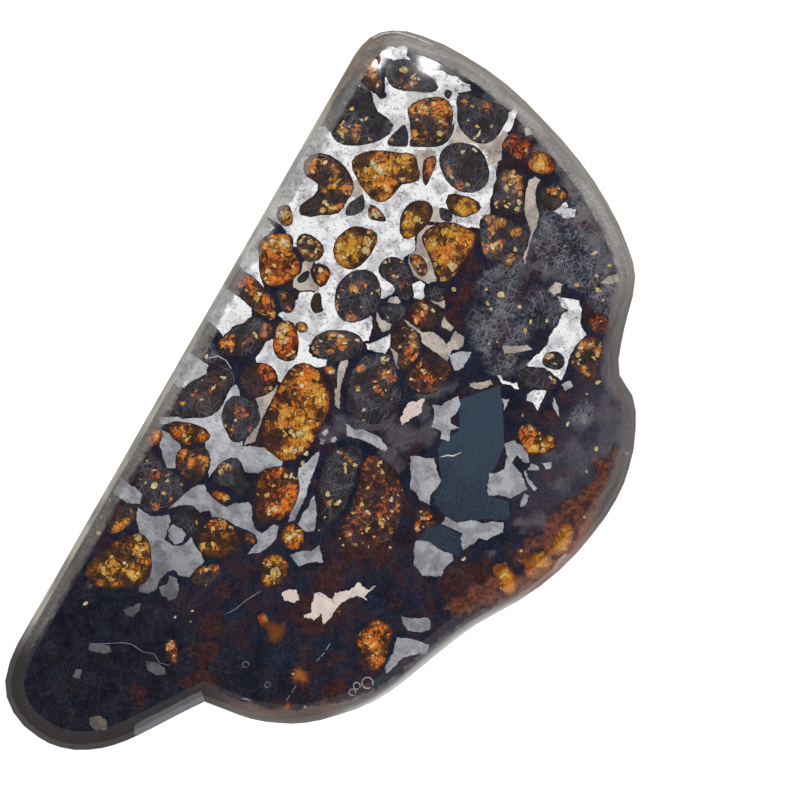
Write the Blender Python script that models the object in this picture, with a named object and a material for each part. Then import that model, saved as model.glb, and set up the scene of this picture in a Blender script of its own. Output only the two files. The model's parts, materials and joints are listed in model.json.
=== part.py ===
"""A polished slice of pallasite meteorite: one plate of iron-nickel metal and its oxide, with olivine crystals set in it.

The slice lies flat. +Y runs along the straight sawn edge, +X across the slice, and +Z up from its underside.
The origin is at the middle of the underside. Outlines are lists of corner points in millimetres.
"""

import bmesh
import bpy

MM = 0.001
THICKNESS = 3.5 * MM
RIM_STRIP_WIDTH = 1.1 * MM  # the steep outer facet of the ground rim
RIM_STRIP_DROP = 1.3 * MM
RIM_BEVEL_WIDTH = 2.4 * MM  # the shallow facet between that strip and the polished face
RIM_BEVEL_DROP = 0.6 * MM
UNDERSIDE_CHAMFER = 0.4 * MM
CRYSTAL_GAP = 0.3 * MM  # between a crystal and the plate around it
CUT_REACH = 1.0 * MM  # how far a cutter stands past the faces that it cuts
RIM_STEPS = 2  # straight steps between two points of the slice's outline
CRYSTAL_STEPS = 2  # the same for a crystal's outline
MERGE = 0.00001

SLICE_CORNERS = ((-40.3, 62.5), (-40.3, -59.5), (-5.9, -51.8))  # where the curve may change direction at once
SLICE_OUTLINE = (
    (-40.3, 62.5), (-40.3, -59.5), (-38.9, -66.4), (-34.8, -70.6), (-28.8, -72.2), (-24.2, -71.8),
    (-19.7, -69.7), (-16.0, -66.5), (-13.0, -62.6), (-9.0, -56.4), (-5.9, -51.8), (-2.0, -51.2), (3.0, -50.3),
    (7.4, -48.6), (11.6, -46.2), (16.2, -41.9), (20.4, -36.8), (23.4, -30.8), (25.9, -24.2), (29.6, -15.5),
    (34.1, -8.0), (37.8, 0.5), (39.7, 9.0), (40.3, 16.6), (39.5, 22.6), (36.9, 29.6), (33.5, 34.3),
    (29.7, 36.3), (27.2, 41.2), (25.6, 46.4), (23.4, 53.0), (19.6, 57.0), (12.6, 62.0), (4.2, 66.2),
    (-5.2, 69.4), (-14.0, 71.6), (-23.0, 72.3), (-31.6, 71.6), (-36.6, 69.8), (-39.5, 66.6),
)

OLIVINE_OUTLINES = {
    "gold": (
        ((-31.0, 45.6), (-30.2, 47.8), (-27.4, 49.9), (-24.4, 51.1), (-22.2, 52.1), (-20.6, 50.8), (-19.2, 48.7),
         (-21.4, 46.6), (-22.0, 43.4), (-23.4, 41.8), (-26.2, 42.2), (-28.8, 43.6)),
        ((-13.4, 40.2), (-12.6, 42.8), (-11.2, 44.4), (-7.8, 45.4), (-5.2, 45.2), (-4.7, 42.6), (-5.0, 38.6),
         (-5.4, 35.6), (-6.9, 34.8), (-9.2, 36.8), (-11.6, 38.6)),
        ((-26.4, 31.4), (-25.9, 34.2), (-24.8, 35.7), (-22.6, 36.4), (-20.9, 36.5), (-20.1, 34.4), (-20.3, 31.4),
         (-21.3, 29.2), (-23.0, 28.5), (-25.2, 29.2)),
        ((-13.0, 49.0), (-11.0, 50.0), (-8.9, 50.5), (-7.0, 49.9), (-7.8, 48.2), (-9.0, 46.9), (-11.8, 46.9)),
        ((-18.6, 42.4), (-18.0, 44.6), (-16.4, 45.8), (-14.7, 45.7), (-13.9, 43.9), (-14.2, 41.4), (-15.0, 39.4),
         (-16.2, 38.4), (-17.9, 40.1)),
        ((-33.2, -33.6), (-31.2, -31.4), (-29.2, -31.6), (-27.2, -34.0), (-25.7, -37.2), (-26.5, -39.4),
         (-29.2, -41.4), (-32.2, -43.2), (-35.8, -42.4), (-36.0, -39.4), (-34.8, -36.4)),
        ((-9.4, -24.6), (-8.4, -22.6), (-6.6, -22.2), (-4.9, -23.2), (-4.4, -25.4), (-5.4, -27.6), (-7.0, -28.4),
         (-8.5, -26.8)),
    ),
    "amber": (
        ((-38.2, 24.6), (-37.4, 26.9), (-35.4, 28.2), (-33.6, 28.4), (-32.6, 26.6), (-30.2, 25.0), (-29.6, 23.4),
         (-30.3, 21.4), (-31.8, 19.6), (-33.8, 18.9), (-35.6, 20.3), (-37.0, 22.6)),
        ((-22.3, 5.6), (-21.7, 8.9), (-19.4, 10.2), (-16.4, 9.3), (-13.5, 7.0), (-12.5, 3.4), (-12.2, -1.0),
         (-12.8, -4.4), (-14.7, -7.0), (-17.2, -6.9), (-20.0, -6.2), (-21.5, -3.2), (-22.0, 1.0)),
        ((-28.0, 13.2), (-27.4, 14.7), (-25.9, 15.1), (-24.2, 13.7), (-22.7, 11.2), (-22.6, 9.6), (-24.2, 8.6),
         (-25.9, 8.9), (-27.2, 10.6)),
        ((-27.7, 26.1), (-26.4, 26.9), (-24.9, 26.6), (-24.4, 25.2), (-24.8, 23.4), (-26.4, 24.2)),
        ((-3.8, 62.2), (-3.0, 63.7), (-0.6, 64.0), (1.0, 63.0), (0.8, 61.4), (-0.9, 60.5), (-3.0, 60.6)),
        ((-17.6, -11.2), (-16.0, -9.0), (-13.4, -7.8), (-11.2, -8.7), (-9.9, -11.0), (-9.5, -14.2), (-10.3, -16.6),
         (-12.0, -17.6), (-13.2, -19.4), (-14.6, -17.8), (-15.6, -15.8), (-16.8, -13.8)),
        ((-9.0, -18.2), (-8.4, -16.6), (-7.0, -15.9), (-5.4, -16.8), (-4.8, -18.6), (-5.8, -20.1), (-7.6, -19.9)),
        ((-21.5, -24.0), (-20.6, -22.2), (-18.4, -21.5), (-16.3, -22.0), (-14.9, -23.8), (-15.0, -25.8),
         (-16.0, -27.6), (-18.2, -28.9), (-20.4, -28.2), (-21.4, -26.4)),
        ((12.6, -25.4), (13.6, -23.5), (15.6, -23.2), (17.2, -24.0), (17.6, -26.2), (18.5, -28.8), (18.3, -31.0),
         (16.6, -31.8), (15.0, -30.2), (13.0, -29.2), (12.2, -27.4)),
        ((18.7, 18.8), (20.0, 20.6), (22.4, 20.2), (25.0, 20.7), (25.8, 18.8), (24.6, 17.2), (22.8, 15.9),
         (20.6, 16.9)),
        ((-36.2, -11.6), (-34.2, -10.2), (-31.4, -9.3), (-28.8, -9.8), (-29.2, -11.2), (-30.8, -12.8),
         (-33.2, -13.5), (-35.2, -12.9)),
    ),
    "rim_amber": (
        ((34.3, 4.6), (34.2, 7.0), (35.2, 8.5), (36.4, 7.4), (37.0, 5.2), (36.8, 3.4), (35.4, 2.8)),
        ((32.0, -0.6), (33.0, 1.6), (35.0, 1.9), (36.0, 0.2), (35.4, -2.0), (34.0, -3.2), (32.5, -2.8)),
        ((27.2, -4.8), (28.6, -3.7), (30.4, -4.0), (32.0, -5.3), (32.7, -6.8), (31.6, -7.9), (29.8, -7.0),
         (28.0, -5.9)),
    ),
    "brown": (
        ((-38.8, 59.3), (-38.7, 63.9), (-36.8, 64.9), (-35.3, 63.1), (-33.9, 61.0), (-32.9, 59.0), (-34.6, 58.6),
         (-36.8, 59.0)),
        ((-24.4, 62.6), (-22.4, 63.6), (-20.6, 63.0), (-19.2, 60.9), (-18.7, 58.0), (-19.8, 56.1), (-22.4, 54.0),
         (-23.9, 54.8), (-25.6, 57.2), (-27.0, 58.9), (-25.9, 61.2)),
        ((-38.4, 41.4), (-36.8, 44.0), (-33.2, 44.4), (-30.4, 43.4), (-28.6, 41.6), (-28.5, 39.2), (-28.8, 36.4),
         (-31.2, 34.7), (-34.3, 32.9), (-35.1, 34.2), (-33.9, 36.8), (-34.3, 39.2), (-36.8, 39.4)),
        ((-32.6, 29.2), (-31.8, 30.2), (-29.8, 30.3), (-28.2, 29.8), (-27.4, 28.3), (-28.1, 26.9), (-29.3, 26.2),
         (-31.0, 26.8), (-32.2, 27.8)),
        ((-13.5, 35.8), (-12.8, 36.8), (-11.2, 36.7), (-9.7, 35.2), (-10.0, 34.1), (-11.0, 34.2), (-12.4, 35.0)),
        ((-9.1, 22.8), (-8.4, 24.4), (-6.2, 24.9), (-4.6, 23.6), (-3.6, 21.8), (-3.8, 19.6), (-4.6, 17.8),
         (-5.8, 18.0), (-6.6, 19.9), (-8.7, 20.6)),
        ((-38.8, 15.8), (-38.5, 18.3), (-36.6, 18.8), (-33.0, 17.7), (-30.9, 16.9), (-29.6, 15.4), (-29.2, 14.0),
         (-31.0, 13.7), (-33.4, 13.9), (-36.0, 14.6)),
        ((-31.0, 18.5), (-30.1, 19.4), (-28.4, 19.4), (-27.2, 18.0), (-27.4, 16.6), (-28.6, 16.3), (-30.0, 17.6)),
        ((-32.0, -14.4), (-30.4, -13.5), (-28.6, -12.2), (-27.1, -13.0), (-26.3, -15.2), (-26.4, -17.6),
         (-28.6, -18.3), (-31.0, -17.6), (-32.0, -16.2)),
        ((-36.3, -28.2), (-34.6, -27.9), (-33.2, -29.0), (-33.4, -30.6), (-34.3, -32.6), (-36.2, -34.0)),
        ((1.4, 57.2), (1.8, 59.2), (3.4, 60.4), (5.2, 60.0), (5.4, 58.2), (4.7, 56.2), (3.0, 55.8)),
        ((20.7, 38.4), (22.0, 39.8), (24.0, 39.6), (24.8, 37.6), (25.4, 35.4), (26.2, 33.6), (24.8, 32.8),
         (22.4, 33.2), (20.8, 34.0), (20.5, 36.0)),
        ((-19.0, -31.8), (-17.6, -30.3), (-16.0, -29.2), (-15.2, -30.2), (-15.6, -32.2), (-16.9, -34.4),
         (-18.5, -34.0)),
    ),
    "red": (
        ((-9.0, 28.4), (-8.0, 30.2), (-5.6, 30.5), (-3.6, 30.0), (-3.2, 28.2), (-4.6, 26.0), (-6.8, 25.7),
         (-8.6, 26.8)),
        ((-2.8, 21.0), (-2.2, 22.8), (0.6, 23.0), (2.6, 22.2), (2.9, 19.6), (2.1, 17.0), (0.2, 15.6), (-2.2, 15.8),
         (-3.4, 17.2), (-3.0, 19.2)),
        ((-29.3, 2.6), (-29.0, 4.6), (-27.4, 6.0), (-25.4, 6.4), (-23.7, 5.5), (-23.0, 4.0), (-23.5, 2.2),
         (-24.9, 0.6), (-27.2, 0.5), (-28.8, 1.3)),
        ((-2.2, 1.2), (-0.4, 1.9), (3.4, 1.2), (6.6, -1.6), (8.2, -5.4), (8.4, -9.4), (6.6, -12.8), (2.6, -14.0),
         (0.0, -12.2), (-0.3, -8.0), (-1.4, -3.6)),
        ((19.6, 42.0), (20.4, 43.8), (22.6, 44.0), (23.9, 42.6), (23.4, 41.1), (21.6, 40.9)),
    ),
    "dark": (
        ((-34.0, 63.4), (-33.2, 65.4), (-30.8, 66.5), (-27.6, 65.8), (-24.4, 64.8), (-25.0, 63.6), (-27.4, 62.4),
         (-29.5, 61.4), (-31.4, 61.0), (-33.0, 61.8)),
        ((-38.8, 50.8), (-38.8, 57.4), (-36.0, 57.9), (-34.2, 57.5), (-31.6, 55.6), (-28.0, 54.9), (-28.6, 51.8),
         (-30.4, 49.8), (-32.6, 48.2), (-35.2, 47.5), (-37.4, 48.8)),
        ((-20.4, 65.2), (-19.4, 66.2), (-16.6, 66.6), (-13.4, 67.6), (-11.2, 67.2), (-10.8, 64.6), (-11.1, 61.6),
         (-13.0, 59.9), (-16.0, 60.1), (-18.0, 61.2), (-19.2, 63.2)),
        ((-17.9, 55.4), (-17.1, 57.2), (-14.8, 58.6), (-12.4, 58.8), (-9.9, 57.3), (-8.3, 54.8), (-8.8, 52.6),
         (-10.8, 51.0), (-13.4, 50.8), (-16.0, 52.1), (-17.6, 53.8)),
        ((-7.1, 56.6), (-6.2, 58.2), (-3.9, 58.9), (-2.4, 57.8), (-1.4, 55.4), (-0.2, 52.9), (-2.0, 51.9),
         (-4.4, 51.1), (-5.6, 52.2), (-6.3, 54.4)),
        ((-5.8, 48.0), (-4.9, 49.6), (-2.2, 50.3), (1.0, 50.5), (3.2, 49.4), (3.7, 46.4), (3.1, 43.6), (0.6, 43.0),
         (-2.6, 43.2), (-4.0, 45.2), (-4.9, 46.4)),
        ((-22.2, 25.2), (-21.7, 27.4), (-20.6, 29.0), (-18.2, 30.1), (-16.0, 29.0), (-14.6, 26.9), (-14.4, 24.0),
         (-15.7, 21.6), (-18.2, 20.2), (-20.4, 21.3), (-21.7, 23.4)),
        ((-17.4, 32.4), (-16.4, 34.2), (-14.2, 34.6), (-12.8, 33.8), (-11.4, 32.4), (-10.0, 29.8), (-11.2, 28.6),
         (-13.2, 30.1), (-15.2, 30.3), (-17.0, 30.9)),
        ((-13.4, 25.6), (-12.0, 27.1), (-9.9, 27.4), (-9.5, 26.0), (-10.0, 24.5), (-11.2, 23.8), (-12.7, 24.6)),
        ((-21.2, 14.2), (-20.5, 16.2), (-18.4, 17.9), (-15.5, 19.0), (-13.4, 18.5), (-12.9, 16.8), (-14.0, 14.8),
         (-16.0, 13.1), (-18.6, 12.5), (-20.5, 12.5)),
        ((-33.0, 12.2), (-30.8, 12.9), (-28.8, 12.6), (-28.6, 10.4), (-29.2, 8.4), (-30.2, 6.2), (-32.0, 5.0),
         (-34.4, 4.1), (-35.8, 4.8), (-35.4, 6.8), (-34.4, 9.2), (-33.4, 10.8)),
        ((-28.8, -1.8), (-26.8, -0.9), (-24.3, -1.2), (-22.5, -2.7), (-22.6, -5.0), (-23.2, -7.4), (-24.6, -8.5),
         (-26.2, -7.7), (-28.3, -6.1), (-29.0, -4.4)),
        ((-36.7, -3.6), (-35.4, -1.6), (-34.2, 0.6), (-33.3, 2.2), (-31.4, 2.2), (-30.1, 1.2), (-29.9, -1.0),
         (-30.0, -4.2), (-30.4, -6.4), (-33.0, -8.3), (-36.2, -9.6), (-36.9, -7.0)),
        ((-24.7, -15.2), (-24.1, -12.2), (-22.6, -11.0), (-20.9, -11.8), (-19.6, -13.0), (-18.5, -13.8),
         (-18.2, -15.4), (-19.4, -16.4), (-21.4, -16.0), (-23.4, -16.6)),
        ((-36.3, -17.6), (-33.6, -18.8), (-30.4, -19.1), (-27.9, -20.5), (-28.1, -22.4), (-29.3, -25.0),
         (-31.0, -26.6), (-33.3, -26.8), (-34.0, -24.8), (-36.0, -24.2), (-36.6, -21.0)),
        ((-27.6, -25.0), (-26.5, -23.1), (-25.2, -22.6), (-23.5, -23.9), (-22.5, -25.2), (-23.2, -26.8),
         (-24.6, -26.5), (-26.4, -26.7)),
        ((-8.0, -1.4), (-6.3, 1.0), (-3.8, 1.4), (-3.0, -1.6), (-2.0, -5.4), (-1.5, -9.8), (-2.4, -13.0),
         (-4.0, -12.6), (-6.0, -9.4), (-7.8, -6.4)),
        ((16.3, 32.4), (17.2, 33.9), (18.6, 34.2), (19.8, 33.3), (19.7, 31.9), (18.2, 31.2), (16.8, 31.2)),
        ((14.0, 28.4), (15.4, 29.7), (18.4, 30.1), (20.2, 29.8), (20.5, 28.4), (19.2, 27.6), (17.6, 26.8),
         (15.6, 26.2), (14.1, 27.0)),
        ((-12.2, 13.2), (-11.7, 16.2), (-10.4, 17.5), (-8.2, 18.7), (-6.8, 18.3), (-5.6, 16.8), (-4.2, 15.4),
         (-2.8, 13.8), (-2.2, 11.0), (-3.2, 7.6), (-6.4, 6.2), (-9.6, 6.6), (-11.2, 9.2)),
    ),
}

OLIVINE_LOOKS = {  # colour and roughness
    "gold": ((0.55, 0.28, 0.04), 0.15),
    "amber": ((0.60, 0.17, 0.01), 0.15),
    "rim_amber": ((0.50, 0.20, 0.02), 0.25),
    "brown": ((0.20, 0.06, 0.02), 0.15),
    "red": ((0.14, 0.03, 0.02), 0.15),
    "dark": ((0.03, 0.022, 0.025), 0.15),
}


def remove_everything():
    for obj in list(bpy.data.objects):
        bpy.data.objects.remove(obj, do_unlink=True)


def new_collection(name):
    collection = bpy.data.collections.new(name)
    bpy.context.scene.collection.children.link(collection)
    return collection


def make_material(name, colour, roughness, metallic=0.0):
    material = bpy.data.materials.new(name)
    material.use_nodes = True
    shader = material.node_tree.nodes["Principled BSDF"]
    shader.inputs["Base Color"].default_value = (*colour, 1.0)
    shader.inputs["Roughness"].default_value = roughness
    shader.inputs["Metallic"].default_value = metallic
    return material


def outline_solid(name, collection, outline, bottom, top, steps, offset=0.0, corners=()):
    """A closed mesh: the smooth curve through the outline's points, filled and raised from bottom to top."""
    curve = bpy.data.curves.new(name, "CURVE")
    curve.dimensions = "2D"
    curve.fill_mode = "BOTH"
    curve.extrude = (top - bottom) / 2
    curve.offset = offset
    curve.resolution_u = steps
    spline = curve.splines.new("BEZIER")
    spline.bezier_points.add(len(outline) - 1)
    for knot, (x, y) in zip(spline.bezier_points, outline):
        handle = "VECTOR" if (x, y) in corners else "AUTO"
        knot.co = (x * MM, y * MM, 0.0)
        knot.handle_left_type = handle
        knot.handle_right_type = handle
    spline.use_cyclic_u = True
    drawn = bpy.data.objects.new(name + "_curve", curve)
    drawn.location.z = (top + bottom) / 2
    collection.objects.link(drawn)
    bpy.context.view_layer.update()
    graph = bpy.context.evaluated_depsgraph_get()
    mesh = bpy.data.meshes.new_from_object(drawn.evaluated_get(graph))
    solid = bpy.data.objects.new(name, mesh)
    solid.matrix_world = drawn.matrix_world
    collection.objects.link(solid)
    bpy.data.objects.remove(drawn)
    weld_and_face_out(mesh)
    return solid


def weld_and_face_out(mesh):
    shape = bmesh.new()
    shape.from_mesh(mesh)
    bmesh.ops.remove_doubles(shape, verts=shape.verts, dist=MERGE)
    bmesh.ops.recalc_face_normals(shape, faces=shape.faces)
    shape.to_mesh(mesh)
    shape.free()


def ring_inwards(shape, level, width, rise):
    """Moves the flat end at this level in by width and along Z by rise, which leaves one ring of facets."""
    end = [face for face in shape.faces if all(abs(vert.co.z - level) < MERGE for vert in face.verts)]
    bmesh.ops.inset_region(shape, faces=end, thickness=width, depth=abs(rise), use_even_offset=True)


def make_blank(collection):
    """The whole slice before its sockets are cut: a plate with a rim of two ground facets."""
    side_top = THICKNESS - RIM_STRIP_DROP - RIM_BEVEL_DROP
    blank = outline_solid(
        "slice_blank", collection, SLICE_OUTLINE, UNDERSIDE_CHAMFER, side_top, RIM_STEPS, corners=SLICE_CORNERS
    )
    blank.data.transform(blank.matrix_world)
    blank.matrix_world.identity()
    shape = bmesh.new()
    shape.from_mesh(blank.data)
    bmesh.ops.dissolve_limit(shape, angle_limit=0.0001, verts=shape.verts, edges=shape.edges)
    ring_inwards(shape, side_top, RIM_STRIP_WIDTH, RIM_STRIP_DROP)
    ring_inwards(shape, side_top + RIM_STRIP_DROP, RIM_BEVEL_WIDTH, RIM_BEVEL_DROP)
    ring_inwards(shape, UNDERSIDE_CHAMFER, UNDERSIDE_CHAMFER, UNDERSIDE_CHAMFER)
    shape.to_mesh(blank.data)
    shape.free()
    return blank


def hide_as_cutter(obj):
    obj.hide_render = True
    obj.display_type = "WIRE"


def add_boolean(obj, operation, other):
    boolean = obj.modifiers.new(operation.lower() + "_" + other.name, "BOOLEAN")
    boolean.operation = operation
    boolean.solver = "EXACT"
    if isinstance(other, bpy.types.Collection):
        boolean.operand_type = "COLLECTION"
        boolean.collection = other
    else:
        boolean.object = other


def make_crystals(parts, sockets, blank):
    """Each crystal runs through the slice, ground with it, and leaves a socket half a gap larger all round."""
    for look, outlines in OLIVINE_OUTLINES.items():
        colour, roughness = OLIVINE_LOOKS[look]
        material = make_material("olivine_" + look, colour, roughness)
        for number, outline in enumerate(outlines, start=1):
            name = f"olivine_{look}_{number}"
            crystal = outline_solid(
                name, parts, outline, -CUT_REACH, THICKNESS + CUT_REACH, CRYSTAL_STEPS, offset=-CRYSTAL_GAP / 2
            )
            crystal.data.materials.append(material)
            add_boolean(crystal, "INTERSECT", blank)
            socket = outline_solid(
                name + "_socket", sockets, outline, -CUT_REACH, THICKNESS + CUT_REACH, CRYSTAL_STEPS,
                offset=CRYSTAL_GAP / 2,
            )
            hide_as_cutter(socket)


def make_plate(parts, blank, sockets):
    plate = bpy.data.objects.new("iron_nickel_plate", blank.data.copy())
    plate.data.materials.append(make_material("iron_nickel", (0.32, 0.31, 0.30), 0.3, metallic=0.7))
    parts.objects.link(plate)
    add_boolean(plate, "DIFFERENCE", sockets)


def main():
    remove_everything()
    parts = new_collection("pallasite_slice")
    sockets = new_collection("sockets")
    guides = new_collection("blank")
    blank = make_blank(guides)
    hide_as_cutter(blank)
    make_crystals(parts, sockets, blank)
    make_plate(parts, blank, sockets)


main()
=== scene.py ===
"""Looks of a pallasite meteorite slice: bright metal, dark oxide, olivine crystals and the studio round it.

The CAD plate is parted here into the stuff it is made of, and each crystal is closed up to its socket.
Lengths in this file are millimetres unless a name ends in _M. X runs across the slice, Y along it, Z up.
"""

import json
import math

import bmesh
import bpy
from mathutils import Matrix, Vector, kdtree, noise

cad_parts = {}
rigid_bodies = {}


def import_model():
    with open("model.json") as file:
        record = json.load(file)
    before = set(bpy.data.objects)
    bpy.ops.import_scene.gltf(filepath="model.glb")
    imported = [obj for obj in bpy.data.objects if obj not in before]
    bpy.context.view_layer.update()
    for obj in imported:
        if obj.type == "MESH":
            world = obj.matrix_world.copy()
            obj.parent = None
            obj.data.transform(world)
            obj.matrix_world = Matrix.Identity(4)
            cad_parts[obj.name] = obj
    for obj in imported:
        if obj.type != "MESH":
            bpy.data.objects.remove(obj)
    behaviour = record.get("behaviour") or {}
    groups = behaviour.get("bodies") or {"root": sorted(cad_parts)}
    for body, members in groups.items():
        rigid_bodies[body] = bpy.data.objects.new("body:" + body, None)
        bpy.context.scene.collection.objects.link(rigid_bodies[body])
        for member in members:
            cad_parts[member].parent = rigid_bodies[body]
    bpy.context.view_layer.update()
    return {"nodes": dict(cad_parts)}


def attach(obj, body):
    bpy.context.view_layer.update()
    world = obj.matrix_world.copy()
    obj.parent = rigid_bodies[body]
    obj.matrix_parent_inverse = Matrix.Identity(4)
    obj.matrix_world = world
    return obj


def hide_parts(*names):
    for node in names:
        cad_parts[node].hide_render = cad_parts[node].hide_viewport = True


bl_info = {
    "name": "Pallasite Slice",
    "version": (1, 0, 0),
    "blender": (4, 5, 0),
    "location": "View3D > Sidebar > Slice",
    "description": "Dresses a pallasite meteorite slice: metal, oxide, olivine crystals and a plain studio",
    "category": "Object",
}

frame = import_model()

MM = 0.001
PLATE = "iron_nickel_plate"
TOP = 3.5
BELOW, ABOVE = -1.0, 5.0
# A boolean that comes out with less than this share of its outlines' area has failed.
LEAST_SHARE = 0.2
# The noise module takes its seed from the clock until it is given one, and the ragged outlines would then differ
# from run to run. With this seed no outline crosses itself, which would make its boolean come out empty.
noise.seed_set(1)

# Outlines of the metal, read on a millimetre grid laid over the slice.

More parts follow.
